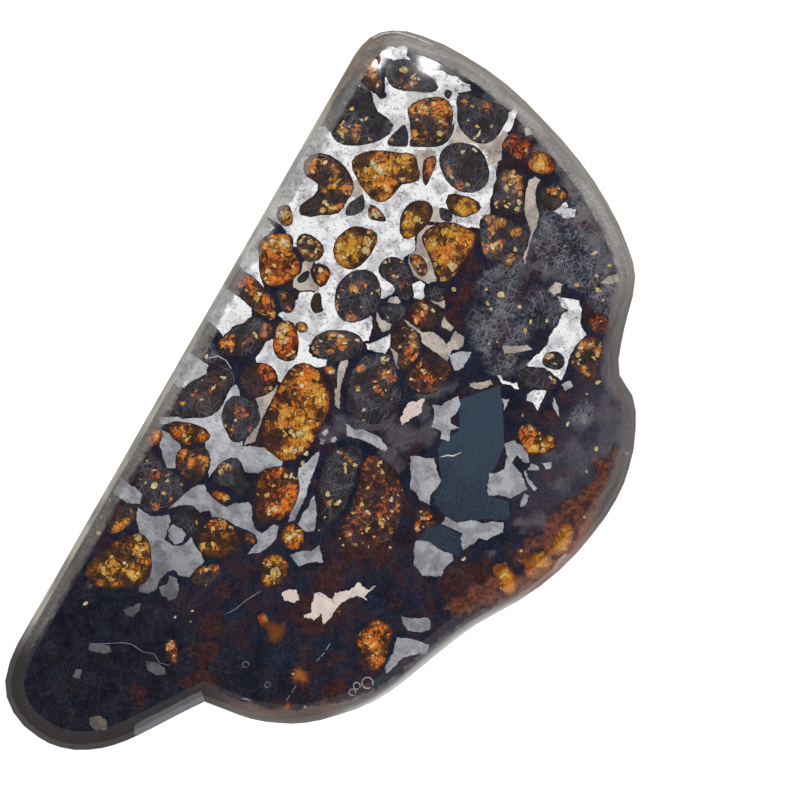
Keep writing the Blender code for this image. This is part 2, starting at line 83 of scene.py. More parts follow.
BRIGHT_METAL = {
    "upper_network": [
        (-36.4, 65.4), (-35.6, 67.0), (-34.3, 67.3), (-33.6, 68.4), (-32.6, 68.3), (-32.1, 67.0), (-29.0, 66.0),
        (-27.0, 66.6), (-26.0, 67.4), (-24.9, 67.9), (-23.6, 67.7), (-22.3, 68.3), (-21.0, 67.9), (-19.6, 68.1),
        (-18.8, 67.3), (-19.8, 66.5), (-20.9, 65.7), (-18.5, 65.0), (-14.0, 66.0), (-11.6, 66.5), (-10.5, 68.4),
        (-9.7, 68.3), (-9.5, 66.6), (-9.1, 65.0), (-9.6, 63.8), (-9.3, 62.4), (-9.2, 60.8), (-8.4, 59.8),
        (-8.9, 58.9), (-8.1, 58.2), (-7.9, 57.0), (-7.1, 55.9), (-6.9, 54.4), (-6.4, 53.2), (-6.2, 51.8),
        (-5.5, 50.8), (-4.5, 49.0), (-5.2, 46.6), (-6.4, 46.2), (-9.0, 44.0), (-10.8, 44.6), (-11.4, 45.2),
        (-12.8, 43.4), (-13.7, 45.2), (-14.3, 44.4), (-15.0, 42.0), (-14.6, 39.6), (-13.9, 38.4), (-13.4, 37.2),
        (-14.0, 36.2), (-14.4, 35.4), (-14.0, 33.0), (-14.6, 30.6), (-13.6, 30.1), (-12.9, 29.3), (-13.2, 28.2),
        (-13.9, 27.2), (-15.5, 26.0), (-14.9, 23.6), (-14.0, 23.0), (-13.2, 21.8), (-12.8, 20.4), (-12.6, 19.2),
        (-15.0, 17.0), (-19.0, 14.0), (-21.6, 13.2), (-20.9, 12.3), (-20.0, 11.7), (-18.6, 12.0), (-17.4, 12.5),
        (-16.9, 11.6), (-17.6, 10.8), (-18.8, 10.3), (-19.0, 8.0), (-21.0, 6.0), (-22.4, 4.8), (-22.9, 4.9),
        (-25.5, 5.0), (-27.9, 5.4), (-28.6, 6.6), (-28.3, 8.4), (-28.4, 10.0), (-27.0, 11.5), (-26.5, 13.8),
        (-27.8, 14.9), (-28.9, 15.2), (-28.5, 16.4), (-28.5, 18.0), (-27.2, 19.5), (-27.6, 20.6), (-26.6, 21.3),
        (-25.4, 21.9), (-24.9, 22.9), (-25.5, 24.0), (-26.5, 26.0), (-28.3, 26.8), (-29.5, 28.5), (-33.0, 27.0),
        (-35.2, 28.9), (-36.6, 29.5), (-41.5, 29.5), (-41.5, 47.6), (-39.4, 48.0), (-38.6, 48.8),
        (-37.4, 48.4), (-35.0, 50.0), (-32.0, 55.0), (-33.6, 57.6), (-34.6, 58.3), (-33.4, 58.3), (-32.2, 57.9),
        (-31.4, 58.7), (-32.6, 60.2), (-33.4, 61.6), (-32.5, 64.0), (-34.0, 65.2), (-35.2, 64.8),
    ],
    "left_edge_a": [
        (-41.5, 29.0), (-38.8, 29.0), (-37.4, 28.4), (-37.8, 26.0), (-37.2, 22.8), (-36.0, 21.2), (-35.2, 19.6),
        (-33.6, 18.2), (-36.0, 18.4), (-38.8, 19.2), (-41.5, 19.8),
    ],
    "left_edge_b": [
        (-41.5, 15.2), (-38.9, 14.6), (-36.2, 14.4), (-33.6, 13.8), (-32.8, 12.2), (-33.8, 10.6), (-34.8, 9.6),
        (-35.6, 7.0), (-37.2, 7.6), (-41.5, 8.4),
    ],
    "left_edge_c": [
        (-41.5, 1.4), (-38.9, 1.2), (-37.0, 1.3), (-35.3, 1.0), (-34.6, -1.2), (-36.0, -4.0), (-38.0, -5.0),
        (-41.5, -4.2),
    ],
    "left_edge_d": [(-38.9, -24.2), (-36.4, -24.6), (-34.2, -24.0), (-33.6, -26.6), (-35.6, -27.6), (-38.9, -27.3)],
    "middle": [
        (-38.6, -11.4), (-36.4, -10.2), (-33.0, -8.0), (-30.8, -5.0), (-29.7, -5.6), (-29.5, -3.0), (-29.9, -0.6),
        (-29.3, 0.6), (-28.4, 0.0), (-26.0, -3.0), (-24.0, -6.0), (-22.7, -8.6), (-21.4, -7.7), (-20.0, -7.1),
        (-17.0, -5.5), (-15.2, -7.2), (-14.6, -9.0), (-17.2, -10.4), (-18.0, -11.3), (-19.4, -12.0), (-21.0, -12.4),
        (-24.4, -12.6), (-25.0, -14.6), (-25.2, -16.4), (-25.8, -15.4), (-26.4, -13.4), (-28.0, -13.0),
        (-28.8, -11.2), (-31.0, -11.0), (-34.6, -10.4), (-36.2, -11.6), (-37.6, -12.4),
    ],
    "middle_left": [
        (-37.0, -13.2), (-35.6, -13.0), (-33.0, -13.3), (-32.0, -14.8), (-31.8, -16.6), (-31.3, -17.9),
        (-32.6, -18.6), (-34.2, -17.2), (-35.9, -15.6), (-36.4, -13.8),
    ],
    "lower_middle": [
        (-27.2, -20.2), (-26.4, -18.6), (-25.2, -17.9), (-24.2, -18.8), (-22.0, -19.4), (-20.0, -19.4),
        (-18.8, -18.0), (-16.8, -16.6), (-15.8, -17.2), (-14.8, -19.0), (-13.6, -20.2), (-12.0, -20.4),
        (-11.0, -18.0), (-10.0, -17.6), (-9.4, -19.8), (-9.6, -21.4), (-10.6, -23.6), (-12.4, -24.8),
        (-12.0, -22.4), (-12.9, -21.0), (-15.2, -21.2), (-17.0, -21.6), (-19.6, -21.4), (-21.2, -22.2),
        (-22.2, -21.4), (-23.4, -22.6), (-24.6, -22.2), (-26.0, -22.4), (-27.4, -23.4), (-28.8, -24.9),
        (-28.2, -22.6),
    ],
    "lower_left": [
        (-33.6, -27.4), (-31.0, -27.6), (-29.2, -26.6), (-28.2, -25.7), (-27.2, -26.6), (-27.0, -28.0),
        (-26.6, -30.0), (-24.6, -30.2), (-23.2, -29.2), (-22.6, -27.2), (-21.6, -28.0), (-20.2, -28.6),
        (-18.4, -29.8), (-18.8, -31.0), (-19.4, -33.6), (-20.8, -34.2), (-22.4, -33.8), (-23.4, -35.0),
        (-23.8, -36.6), (-23.4, -38.4), (-24.2, -39.8), (-25.8, -40.4), (-26.6, -39.0), (-26.4, -36.0),
        (-28.6, -32.4), (-31.0, -31.2), (-32.8, -29.4),
    ],
    "long_strip": [
        (-10.4, -2.4), (-9.6, -4.4), (-9.2, -7.4), (-8.4, -11.0), (-8.3, -13.0), (-8.1, -15.4), (-8.9, -16.2),
        (-9.6, -13.4), (-10.0, -10.6), (-11.6, -8.2), (-12.0, -6.8), (-11.2, -5.2), (-10.9, -3.6),
    ],
    "long_wedge": [
        (-7.2, -9.8), (-6.2, -10.8), (-5.0, -12.8), (-4.0, -15.2), (-5.4, -16.2), (-7.2, -15.7), (-7.4, -13.4),
        (-7.0, -12.2), (-7.4, -11.0),
    ],
    "lower_triangle": [(-2.0, -17.0), (0.2, -19.4), (-2.0, -20.6), (-3.2, -22.2), (-5.6, -21.2), (-4.4, -19.6), (-2.8, -18.8)],
    "upper_chip": [(4.9, 55.9), (5.3, 57.6), (6.0, 58.6), (6.6, 57.6), (7.6, 57.9), (8.0, 58.2), (8.5, 56.9), (7.2, 55.8)],
    "right_island": [
        (13.0, 43.0), (14.8, 43.6), (16.6, 44.2), (18.0, 42.8), (18.8, 40.8), (20.8, 39.6), (20.2, 37.0),
        (20.2, 34.8), (20.8, 32.2), (21.0, 30.2), (18.4, 30.6), (16.6, 30.5), (15.2, 29.4), (14.2, 29.6),
        (14.6, 31.2), (15.2, 32.6), (15.7, 34.6), (15.2, 36.6), (15.5, 38.6), (15.2, 40.6), (16.0, 41.8), (14.4, 41.8),
    ],
    "white_chip": [(-10.8, 31.9), (-9.8, 33.2), (-8.8, 33.0), (-8.6, 32.0), (-7.8, 31.2), (-7.8, 30.2), (-9.4, 30.0), (-9.9, 30.8)],
    "white_triangle": [(-12.7, 18.5), (-11.2, 19.8), (-9.7, 22.2), (-8.7, 20.2), (-8.8, 18.6), (-11.8, 17.8)],
    "right_chip_a": [(17.0, 25.0), (17.6, 26.2), (19.6, 27.4), (19.8, 25.6), (20.0, 23.4), (18.6, 24.2), (17.4, 24.0)],
    "right_chip_b": [(12.1, 24.4), (13.4, 25.0), (14.6, 24.8), (15.2, 25.2), (14.2, 25.8), (13.6, 25.4), (12.0, 25.0), (11.0, 25.6), (10.6, 25.2)],
}
BEIGE_METAL = {
    "upper_strip": [
        (-1.9, 58.6), (-1.2, 59.7), (-0.2, 59.6), (0.0, 57.4), (1.2, 55.6), (2.6, 54.2), (3.4, 52.2), (3.6, 50.0),
        (4.1, 48.0), (4.9, 45.0), (4.2, 45.8), (3.6, 47.8), (3.2, 50.6), (2.2, 51.4), (0.6, 52.8), (-0.4, 54.4),
        (-1.4, 56.6),
    ],
    "seam_top": [
        (-17.9, 61.2), (-14.2, 60.4), (-11.7, 60.9), (-10.6, 62.4), (-10.2, 64.1), (-9.0, 63.8), (-9.0, 61.1),
        (-8.0, 59.3), (-8.6, 58.0), (-9.6, 57.0), (-10.6, 59.0), (-13.4, 59.4), (-15.4, 58.6), (-16.8, 55.4), (-17.7, 57.4),
    ],
    "seam_by_shard": [(-22.7, 53.0), (-18.8, 54.8), (-17.2, 52.0), (-18.2, 49.8), (-20.6, 50.8)],
    "seam_small": [(-29.5, 42.4), (-28.6, 43.4), (-26.6, 42.0), (-26.5, 40.4), (-28.1, 40.3)],
    "seam_above_gold": [(-15.4, 44.7), (-14.0, 46.5), (-11.8, 45.9), (-10.8, 44.5), (-12.2, 43.9), (-14.6, 42.8)],
    "left_wedge": [
        (-23.0, 4.6), (-22.4, 3.0), (-22.2, -2.0), (-21.3, -6.6), (-22.6, -8.2), (-23.2, -5.0), (-23.6, -1.0),
        (-25.0, 0.0), (-24.6, 1.0), (-23.4, 2.6),
    ],
    "left_cracked": [
        (-29.6, 27.0), (-28.2, 26.6), (-27.8, 24.8), (-26.4, 23.4), (-25.2, 23.4), (-25.0, 22.4), (-26.6, 21.6),
        (-27.8, 20.9), (-29.0, 20.8), (-29.7, 22.0), (-29.2, 24.0), (-29.8, 25.4),
    ],
    "seam_by_gold": [
        (-12.6, 43.1), (-11.6, 42.4), (-13.0, 40.0), (-10.0, 37.6), (-7.2, 34.6), (-8.4, 33.4), (-9.6, 33.4),
        (-11.2, 33.4), (-13.2, 34.8), (-13.8, 36.2), (-13.2, 37.3), (-13.7, 38.5), (-14.3, 39.8), (-14.6, 42.0),
    ],
    "seam_strip": [(-15.0, 14.4), (-13.8, 14.2), (-12.9, 9.8), (-11.0, 6.0), (-12.0, 6.2), (-13.6, 8.8), (-14.9, 12.6)],
    "seam_band": [
        (-9.0, 25.7), (-6.6, 25.6), (-4.9, 25.3), (-3.3, 26.3), (-1.0, 26.0), (0.0, 25.4), (0.1, 28.4), (2.0, 28.3),
        (2.6, 27.0), (2.2, 25.8), (1.2, 25.0), (1.6, 23.0), (-0.2, 23.2), (-4.2, 23.7), (-5.0, 24.9), (-7.4, 25.0),
    ],
    "seam_wedge": [(-2.9, 29.6), (-1.6, 29.0), (-0.4, 28.8), (-0.5, 28.0), (-2.6, 27.9)],
    "seam_chip": [(-7.2, 31.0), (-5.4, 31.3), (-4.2, 32.3), (-3.6, 30.9)],
    "by_dark_pebble": [(-13.8, 24.4), (-12.2, 23.6), (-10.6, 24.2), (-10.2, 22.8), (-11.2, 21.8), (-12.2, 22.4), (-13.0, 22.9)],
    "below_pebble": [(-13.0, 27.9), (-12.0, 28.6), (-10.8, 28.2), (-11.4, 27.4), (-13.2, 26.8)],
    "hook": [(-8.6, 20.1), (-6.7, 19.9), (-5.2, 17.6), (-6.2, 17.6), (-7.4, 19.2)],
    "right_strip_a": [(8.7, 30.4), (10.6, 31.3), (12.4, 32.6), (13.7, 32.4), (11.6, 30.6), (9.8, 29.3)],
    "right_strip_b": [(7.0, 21.6), (9.0, 23.0), (9.9, 24.0), (10.7, 23.6), (9.6, 22.0), (8.6, 21.2), (7.4, 21.0)],
    "top_chip": [(-7.3, 66.2), (-6.8, 66.6), (-5.4, 66.2), (-6.3, 65.0)],
    "upper_right": [(11.0, 43.2), (11.4, 45.0), (12.6, 45.3), (13.0, 43.8), (12.2, 42.8)],
    "bottom_ellipse": [(-22.4, -64.4), (-21.0, -63.2), (-19.2, -63.4), (-18.7, -64.8), (-20.2, -65.7), (-21.8, -65.5)],
    "rim_patch": [(36.4, 1.8), (37.2, 3.6), (38.4, 3.8), (38.2, 1.0), (37.6, -1.0), (36.6, -0.6)],
    "top_right_patch": [(18.4, 48.9), (19.2, 50.8), (20.6, 52.0), (21.2, 50.6), (20.0, 49.6)],
}
GREY_METAL = {
    "island_a": [(1.4, 24.2), (2.5, 25.6), (4.5, 26.6), (4.6, 24.6), (4.6, 23.4), (3.6, 22.3), (2.6, 22.9)],
    "island_b": [
        (3.2, 15.0), (4.6, 15.6), (5.2, 17.0), (6.4, 18.6), (7.4, 17.4), (7.6, 15.6), (7.0, 14.4), (7.8, 13.6),
        (9.4, 13.8), (8.2, 12.6), (9.0, 10.8), (7.4, 10.3), (6.9, 11.6), (5.8, 11.6), (5.0, 11.4), (4.4, 13.4),
    ],
    "island_c": [
        (4.3, 5.0), (5.3, 5.6), (6.8, 6.0), (8.2, 6.7), (9.4, 5.4), (10.2, 4.6), (11.3, 3.9), (11.2, 2.0),
        (10.8, 0.6), (11.6, -0.9), (9.8, -1.1), (8.2, -0.2), (7.0, -0.1), (6.4, 1.6), (5.4, 3.0),
    ],
    "island_d": [
        (17.8, 15.3), (19.0, 16.6), (21.2, 16.5), (22.6, 15.6), (23.4, 14.6), (22.4, 14.0), (20.9, 14.8),
        (20.6, 13.0), (23.2, 12.0), (25.4, 10.2), (24.6, 9.0), (23.8, 7.4), (21.6, 6.9), (20.0, 5.7), (18.9, 7.2),
        (18.2, 9.4), (19.4, 10.2), (20.0, 11.4), (19.4, 13.4),
    ],
    "island_d_strip": [(23.4, 13.1), (24.8, 12.0), (26.9, 11.2), (26.6, 10.6), (24.8, 11.3), (23.5, 12.5)],
    "island_d_chip_a": [(25.4, 9.4), (26.2, 9.4), (26.6, 7.6), (25.9, 6.9), (25.5, 8.0)],
    "island_d_chip_b": [(23.6, 14.4), (25.2, 14.9), (25.5, 14.2), (23.8, 13.2)],
    "island_d_chip_c": [(25.4, 15.6), (26.8, 16.6), (27.3, 15.6), (26.4, 15.0)],
    "island_e": [
        (15.2, -1.3), (17.6, -1.2), (19.4, 0.4), (21.6, 1.0), (23.0, 2.2), (24.8, 2.9), (25.5, 1.4), (24.2, -0.4),
        (23.6, -1.4), (22.2, -1.6), (21.9, -3.0), (20.8, -5.0), (19.6, -3.6), (19.2, -2.4), (17.2, -2.6), (15.2, -2.8),
    ],
    "island_f": [
        (12.7, -7.6), (14.4, -6.8), (16.8, -7.0), (19.6, -6.6), (20.3, -7.4), (19.6, -9.2), (19.8, -11.0),
        (18.4, -11.8), (16.8, -12.6), (14.4, -11.6), (13.8, -10.2), (13.0, -9.0),
    ],
    "arc": [
        (-8.6, 4.3), (-7.0, 4.1), (-5.2, 4.9), (-2.4, 5.2), (0.0, 4.2), (-0.1, 3.4), (-3.4, 3.3), (-5.4, 3.0),
        (-7.4, 2.5),
    ],
    "lower_a": [(17.2, -20.8), (19.0, -20.2), (21.4, -18.6), (22.4, -19.2), (22.8, -20.4), (21.6, -21.6), (19.4, -22.4), (18.0, -21.7)],
    "lower_b": [
        (18.4, -24.4), (20.6, -23.4), (24.0, -22.8), (24.4, -24.4), (22.6, -25.6), (21.0, -27.2), (20.0, -31.0),
        (19.2, -30.4), (19.1, -27.4),
    ],
    "pebble": [(-26.6, -26.8), (-25.4, -26.4), (-23.8, -27.2), (-23.6, -28.8), (-24.6, -29.8), (-26.2, -29.2), (-26.9, -28.0)],
    "foot": [(-22.6, -35.2), (-21.2, -34.9), (-20.0, -36.2), (-19.5, -37.8), (-20.4, -39.0), (-22.0, -38.9), (-23.2, -38.0), (-22.2, -36.6)],
    "pale_wedge": [(-26.8, -44.6), (-24.6, -42.0), (-24.2, -43.2), (-24.6, -44.9), (-25.8, -45.1)],
    "lower_ellipse": [(-18.6, -50.6), (-17.2, -49.9), (-15.4, -49.9), (-14.3, -50.8), (-15.6, -51.8), (-17.6, -51.8)],
    "lower_patch": [(-29.0, -52.8), (-27.4, -52.0), (-25.6, -51.4), (-24.8, -52.2), (-25.8, -53.2), (-27.2, -53.6), (-28.6, -54.0)],
    "bottom_chip": [(-28.9, -58.0), (-27.8, -57.6), (-27.4, -59.2), (-28.6, -59.6)],
    "chip_a": [(-11.6, 0.6), (-11.2, 1.8), (-10.6, 1.4), (-10.9, 0.4)],
    "chip_b": [(-9.6, 0.2), (-9.3, 1.4), (-8.6, 1.0), (-8.8, 0.2)],
    "chip_c": [(-11.4, -0.4), (-10.4, -0.2), (-10.3, -1.0), (-11.0, -1.2)],
    "diamond": [(21.4, 29.6), (22.4, 31.0), (23.3, 30.4), (22.6, 29.0)],
    "sliver": [(21.4, 26.9), (23.0, 25.7), (24.0, 24.3), (22.4, 25.1), (21.7, 25.8)],
    "thorn": [(13.4, 22.0), (14.6, 22.6), (14.9, 20.4), (14.2, 21.4)],
}
WHITE_INCLUSIONS = {
    "upper": [(-0.9, 11.8), (-0.6, 13.4), (0.4, 14.0), (1.2, 15.4), (1.6, 14.4), (2.0, 12.4), (1.0, 10.8), (0.2, 9.0), (-0.6, 9.8)],
    "pebble": [(-3.6, -27.6), (-2.6, -26.5), (-1.2, -26.2), (-0.1, -27.4), (-1.0, -28.4), (-2.8, -28.7)],
    "jagged": [
        (1.4, -25.0), (2.2, -24.4), (3.6, -24.2), (5.0, -24.4), (4.7, -23.2), (5.6, -22.4), (6.4, -21.6), (7.2, -20.4),
        (7.5, -19.3), (8.6, -19.6), (9.8, -19.5), (10.4, -18.6), (9.6, -20.6), (10.4, -21.5), (8.6, -21.4),
        (7.4, -22.8), (6.6, -24.2), (6.3, -26.0), (6.4, -27.2), (5.8, -28.9), (5.2, -28.4), (4.5, -27.4), (4.0, -29.2),
        (2.9, -29.2), (2.2, -29.7), (1.9, -29.4), (2.8, -28.4), (2.2, -27.0), (1.9, -25.8),
    ],
}
# Light hairlines and rings: points along each, and its width.
VEINS = [
    ([(9.0, 7.5), (10.0, 8.4), (10.9, 8.8), (11.8, 10.0)], 0.25),
    ([(-28.8, -52.8), (-26.4, -51.4), (-24.0, -49.8), (-22.4, -49.2), (-20.0, -49.4), (-18.0, -48.7), (-16.4, -49.6), (-14.4, -49.1)], 0.13),
    ([(8.5, -31.4), (8.4, -32.8)], 0.22),
    ([(8.4, -33.3), (8.2, -34.2)], 0.22),
    ([(8.1, -34.5), (8.0, -35.3)], 0.2),
    ([(6.9, -41.0), (6.9, -42.5)], 0.3),
    ([(6.8, -43.0), (6.8, -44.2)], 0.25),
    ([(-7.0, -29.4), (-8.4, -32.0), (-9.4, -34.6), (-10.6, -36.4)], 0.08),
    ([(-36.2, 2.0), (-34.6, 3.4), (-33.0, 3.4), (-31.4, 2.6)], 0.2),
    ([(-0.4, -47.9), (0.4, -47.5), (1.2, -47.4)], 0.3),
    ([(9.8, -19.2), (10.4, -18.4)], 0.4),
    ([(-39.0, 66.8), (-37.6, 68.6), (-35.7, 69.9), (-32.4, 70.7), (-28.9, 71.1)], 0.2),
]
# A smooth blue-grey facet by the notch in the lower side.
NOTCH_FACET = [
    (-13.8, -63.3), (-11.6, -61.6), (-9.5, -59.2), (-7.4, -55.7), (-5.7, -51.8), (-7.4, -50.3), (-9.2, -52.9),
    (-10.9, -55.7), (-12.6, -58.2), (-13.7, -59.8), (-14.7, -61.7),
]
RINGS = [(17.8, -34.2, 1.0, 0.22), (16.4, -35.6, 0.6, 0.2), (16.3, -37.0, 0.6, 0.2), (-2.8, -42.2, 0.55, 0.12), (2.4, -43.4, 0.5, 0.12)]

# Small olivine grains that the CAD plate leaves out: the look of each, and its outline.
SMALL_GRAINS = {
    "shard_left": ("dark", [(-26.8, 54.9), (-26.3, 56.0), (-25.2, 55.4), (-23.9, 53.2), (-24.8, 52.3), (-26.9, 51.4), (-27.4, 52.6)]),
    "shard_brown": ("brown", [(-20.0, 52.4), (-18.9, 53.8), (-17.9, 53.0), (-17.5, 50.4), (-17.4, 48.5), (-18.4, 49.0), (-19.5, 50.8)]),
    "chip_by_gold": ("dark", [(-13.3, 46.2), (-12.2, 46.7), (-10.8, 46.5), (-10.4, 45.0), (-12.2, 44.7)]),
    "top_red": ("red", [(-9.2, 61.4), (-9.0, 64.0), (-6.8, 64.9), (-4.6, 64.2), (-4.3, 62.2), (-5.0, 60.7), (-7.4, 60.9)]),
    "heart": ("dark", [(-27.9, 38.6), (-27.2, 40.2), (-26.5, 41.4), (-25.4, 40.3), (-25.0, 39.0), (-26.0, 37.4), (-27.4, 36.8)]),
    "wedge": ("brown", [(-24.5, 40.4), (-22.8, 40.7), (-20.5, 39.5), (-22.2, 38.5), (-23.6, 38.5)]),
    "bead_left": ("dark", [(-29.2, 22.6), (-28.6, 24.4), (-27.8, 24.6), (-27.6, 23.0), (-28.5, 22.0)]),
    "bead_brown": ("brown", [(-25.2, 21.6), (-24.2, 22.2), (-23.0, 20.6), (-22.3, 19.8), (-23.4, 18.7), (-24.8, 19.6)]),
    "yellow_spot": ("gold", [(-25.4, 15.2), (-24.6, 16.3), (-23.4, 16.1), (-23.1, 15.0), (-24.2, 14.3)]),
    "blue_pebble": ("dark", [(-8.2, 32.6), (-7.0, 33.6), (-5.2, 33.8), (-4.6, 32.4), (-5.4, 31.4), (-7.4, 31.0)]),
    "hook_dark": ("dark", [(-17.0, 11.4), (-15.8, 12.1), (-14.4, 11.0), (-13.2, 8.8), (-14.8, 9.3), (-16.6, 10.3)]),
    "lower_amber": ("amber", [(-24.1, -18.4), (-22.4, -17.4), (-20.8, -17.2), (-19.6, -17.9), (-20.0, -18.9), (-21.8, -19.2)]),
    "edge_orange": ("amber", [(-38.8, -15.8), (-38.2, -13.4), (-36.8, -13.2), (-36.0, -14.6), (-36.2, -16.4), (-37.6, -16.7)]),
    "small_orange": ("brown", [(-14.7, -21.6), (-12.6, -21.4), (-11.8, -22.4), (-13.0, -23.2), (-14.2, -22.8)]),
    "right_orange": ("red", [(10.2, -2.6), (12.4, -1.6), (14.2, -2.6), (13.4, -4.6), (12.2, -6.8), (10.8, -5.2)]),
    "low_orange": ("red", [(-17.2, -46.0), (-16.6, -44.7), (-15.6, -45.0), (-14.4, -46.4), (-13.6, -48.2), (-15.0, -48.6), (-16.4, -47.4)]),
    "smooth_orange": ("rim_amber", [
        (-5.2, -33.4), (-4.4, -32.5), (-2.8, -33.2), (-1.4, -33.0), (-0.4, -32.3), (0.6, -33.8), (0.2, -36.0),
        (-1.2, -36.4), (-2.6, -35.0), (-4.4, -34.6),
    ]),
    "shard_mid": ("dark", [
        (-18.6, 60.6), (-17.9, 59.0), (-18.1, 57.0), (-19.3, 55.4), (-21.4, 54.2), (-23.4, 53.2), (-23.9, 54.6),
        (-22.0, 55.0), (-19.8, 57.0), (-19.2, 59.0),
    ]),
    "shard_top": ("dark", [(-22.9, 65.2), (-21.7, 65.4), (-21.6, 64.0), (-22.6, 64.2)]),
    "edge_yellow": ("gold", [(-38.4, 32.0), (-37.2, 33.2), (-35.8, 32.2), (-34.9, 30.6), (-36.0, 29.5), (-37.8, 30.2)]),
}
# Specks of pale olivine in the dark oxide: x, y, length, width, turn in degrees.
SPECKS = [
    (14.8, 53.0, 1.3, 0.7, 60), (14.9, 46.5, 0.9, 0.8, 0), (17.2, 49.7, 0.7, 0.6, 0), (18.8, 47.6, 1.5, 0.8, -5),
    (20.4, 46.5, 0.6, 0.5, 0), (18.2, 52.4, 0.9, 0.6, 20), (9.6, 51.4, 0.6, 0.3, 70), (13.5, 38.2, 0.8, 0.8, 0),
    (4.0, 38.2, 1.6, 1.3, 0), (2.7, 35.6, 1.0, 0.6, -30), (3.7, 35.1, 0.7, 0.6, 0), (7.9, 37.9, 0.9, 0.7, 40),
    (11.0, 36.6, 0.5, 1.1, 15), (11.0, 34.7, 1.1, 0.6, -60), (1.2, 37.7, 0.5, 0.8, 0), (-3.8, 34.8, 1.0, 0.9, 0),
    (32.6, 22.7, 1.0, 0.9, 0), (33.1, 18.3, 0.7, 0.4, -50), (30.0, 0.1, 0.6, 0.6, 0), (30.2, -7.5, 0.5, 0.4, 0),
    (36.8, 11.0, 0.5, 0.6, 0), (21.7, -6.3, 1.1, 0.7, 55), (26.9, 33.2, 1.2, 0.8, 50), (26.2, 30.4, 0.6, 0.3, 20),
    (9.3, -11.1, 0.6, 0.5, 0), (1.7, -14.9, 0.5, 0.4, 0), (-18.0, -41.1, 0.4, 0.7, 0), (-15.9, -38.6, 0.4, 0.6, -20),
    (-15.2, -40.4, 0.4, 0.3, 0), (-4.4, 7.3, 0.6, 0.9, 0), (-12.3, -3.9, 1.0, 1.2, 0), (-11.9, -5.7, 0.8, 1.1, 0),
    (-36.4, 2.3, 0.8, 0.9, 0), (-37.5, -34.8, 1.0, 1.0, 0), (-38.7, -28.8, 0.6, 0.7, 0), (-38.5, -32.2, 0.5, 0.5, 0),
    (25.9, 24.0, 0.6, 1.0, 0), (7.6, 30.5, 0.4, 0.4, 0), (6.5, 29.5, 0.5, 0.5, 0), (12.6, -4.9, 0.5, 0.4, 0),
    (18.1, 21.3, 0.3, 0.7, 30), (5.4, -39.4, 0.7, 0.4, 30), (10.2, -43.5, 0.5, 0.3, 0), (-33.2, -47.0, 0.6, 1.2, -20),
    (-3.3, -14.7, 0.5, 0.4, 0), (0.6, -14.2, 0.4, 0.4, 0), (37.8, 24.7, 0.9, 0.6, 40),
]
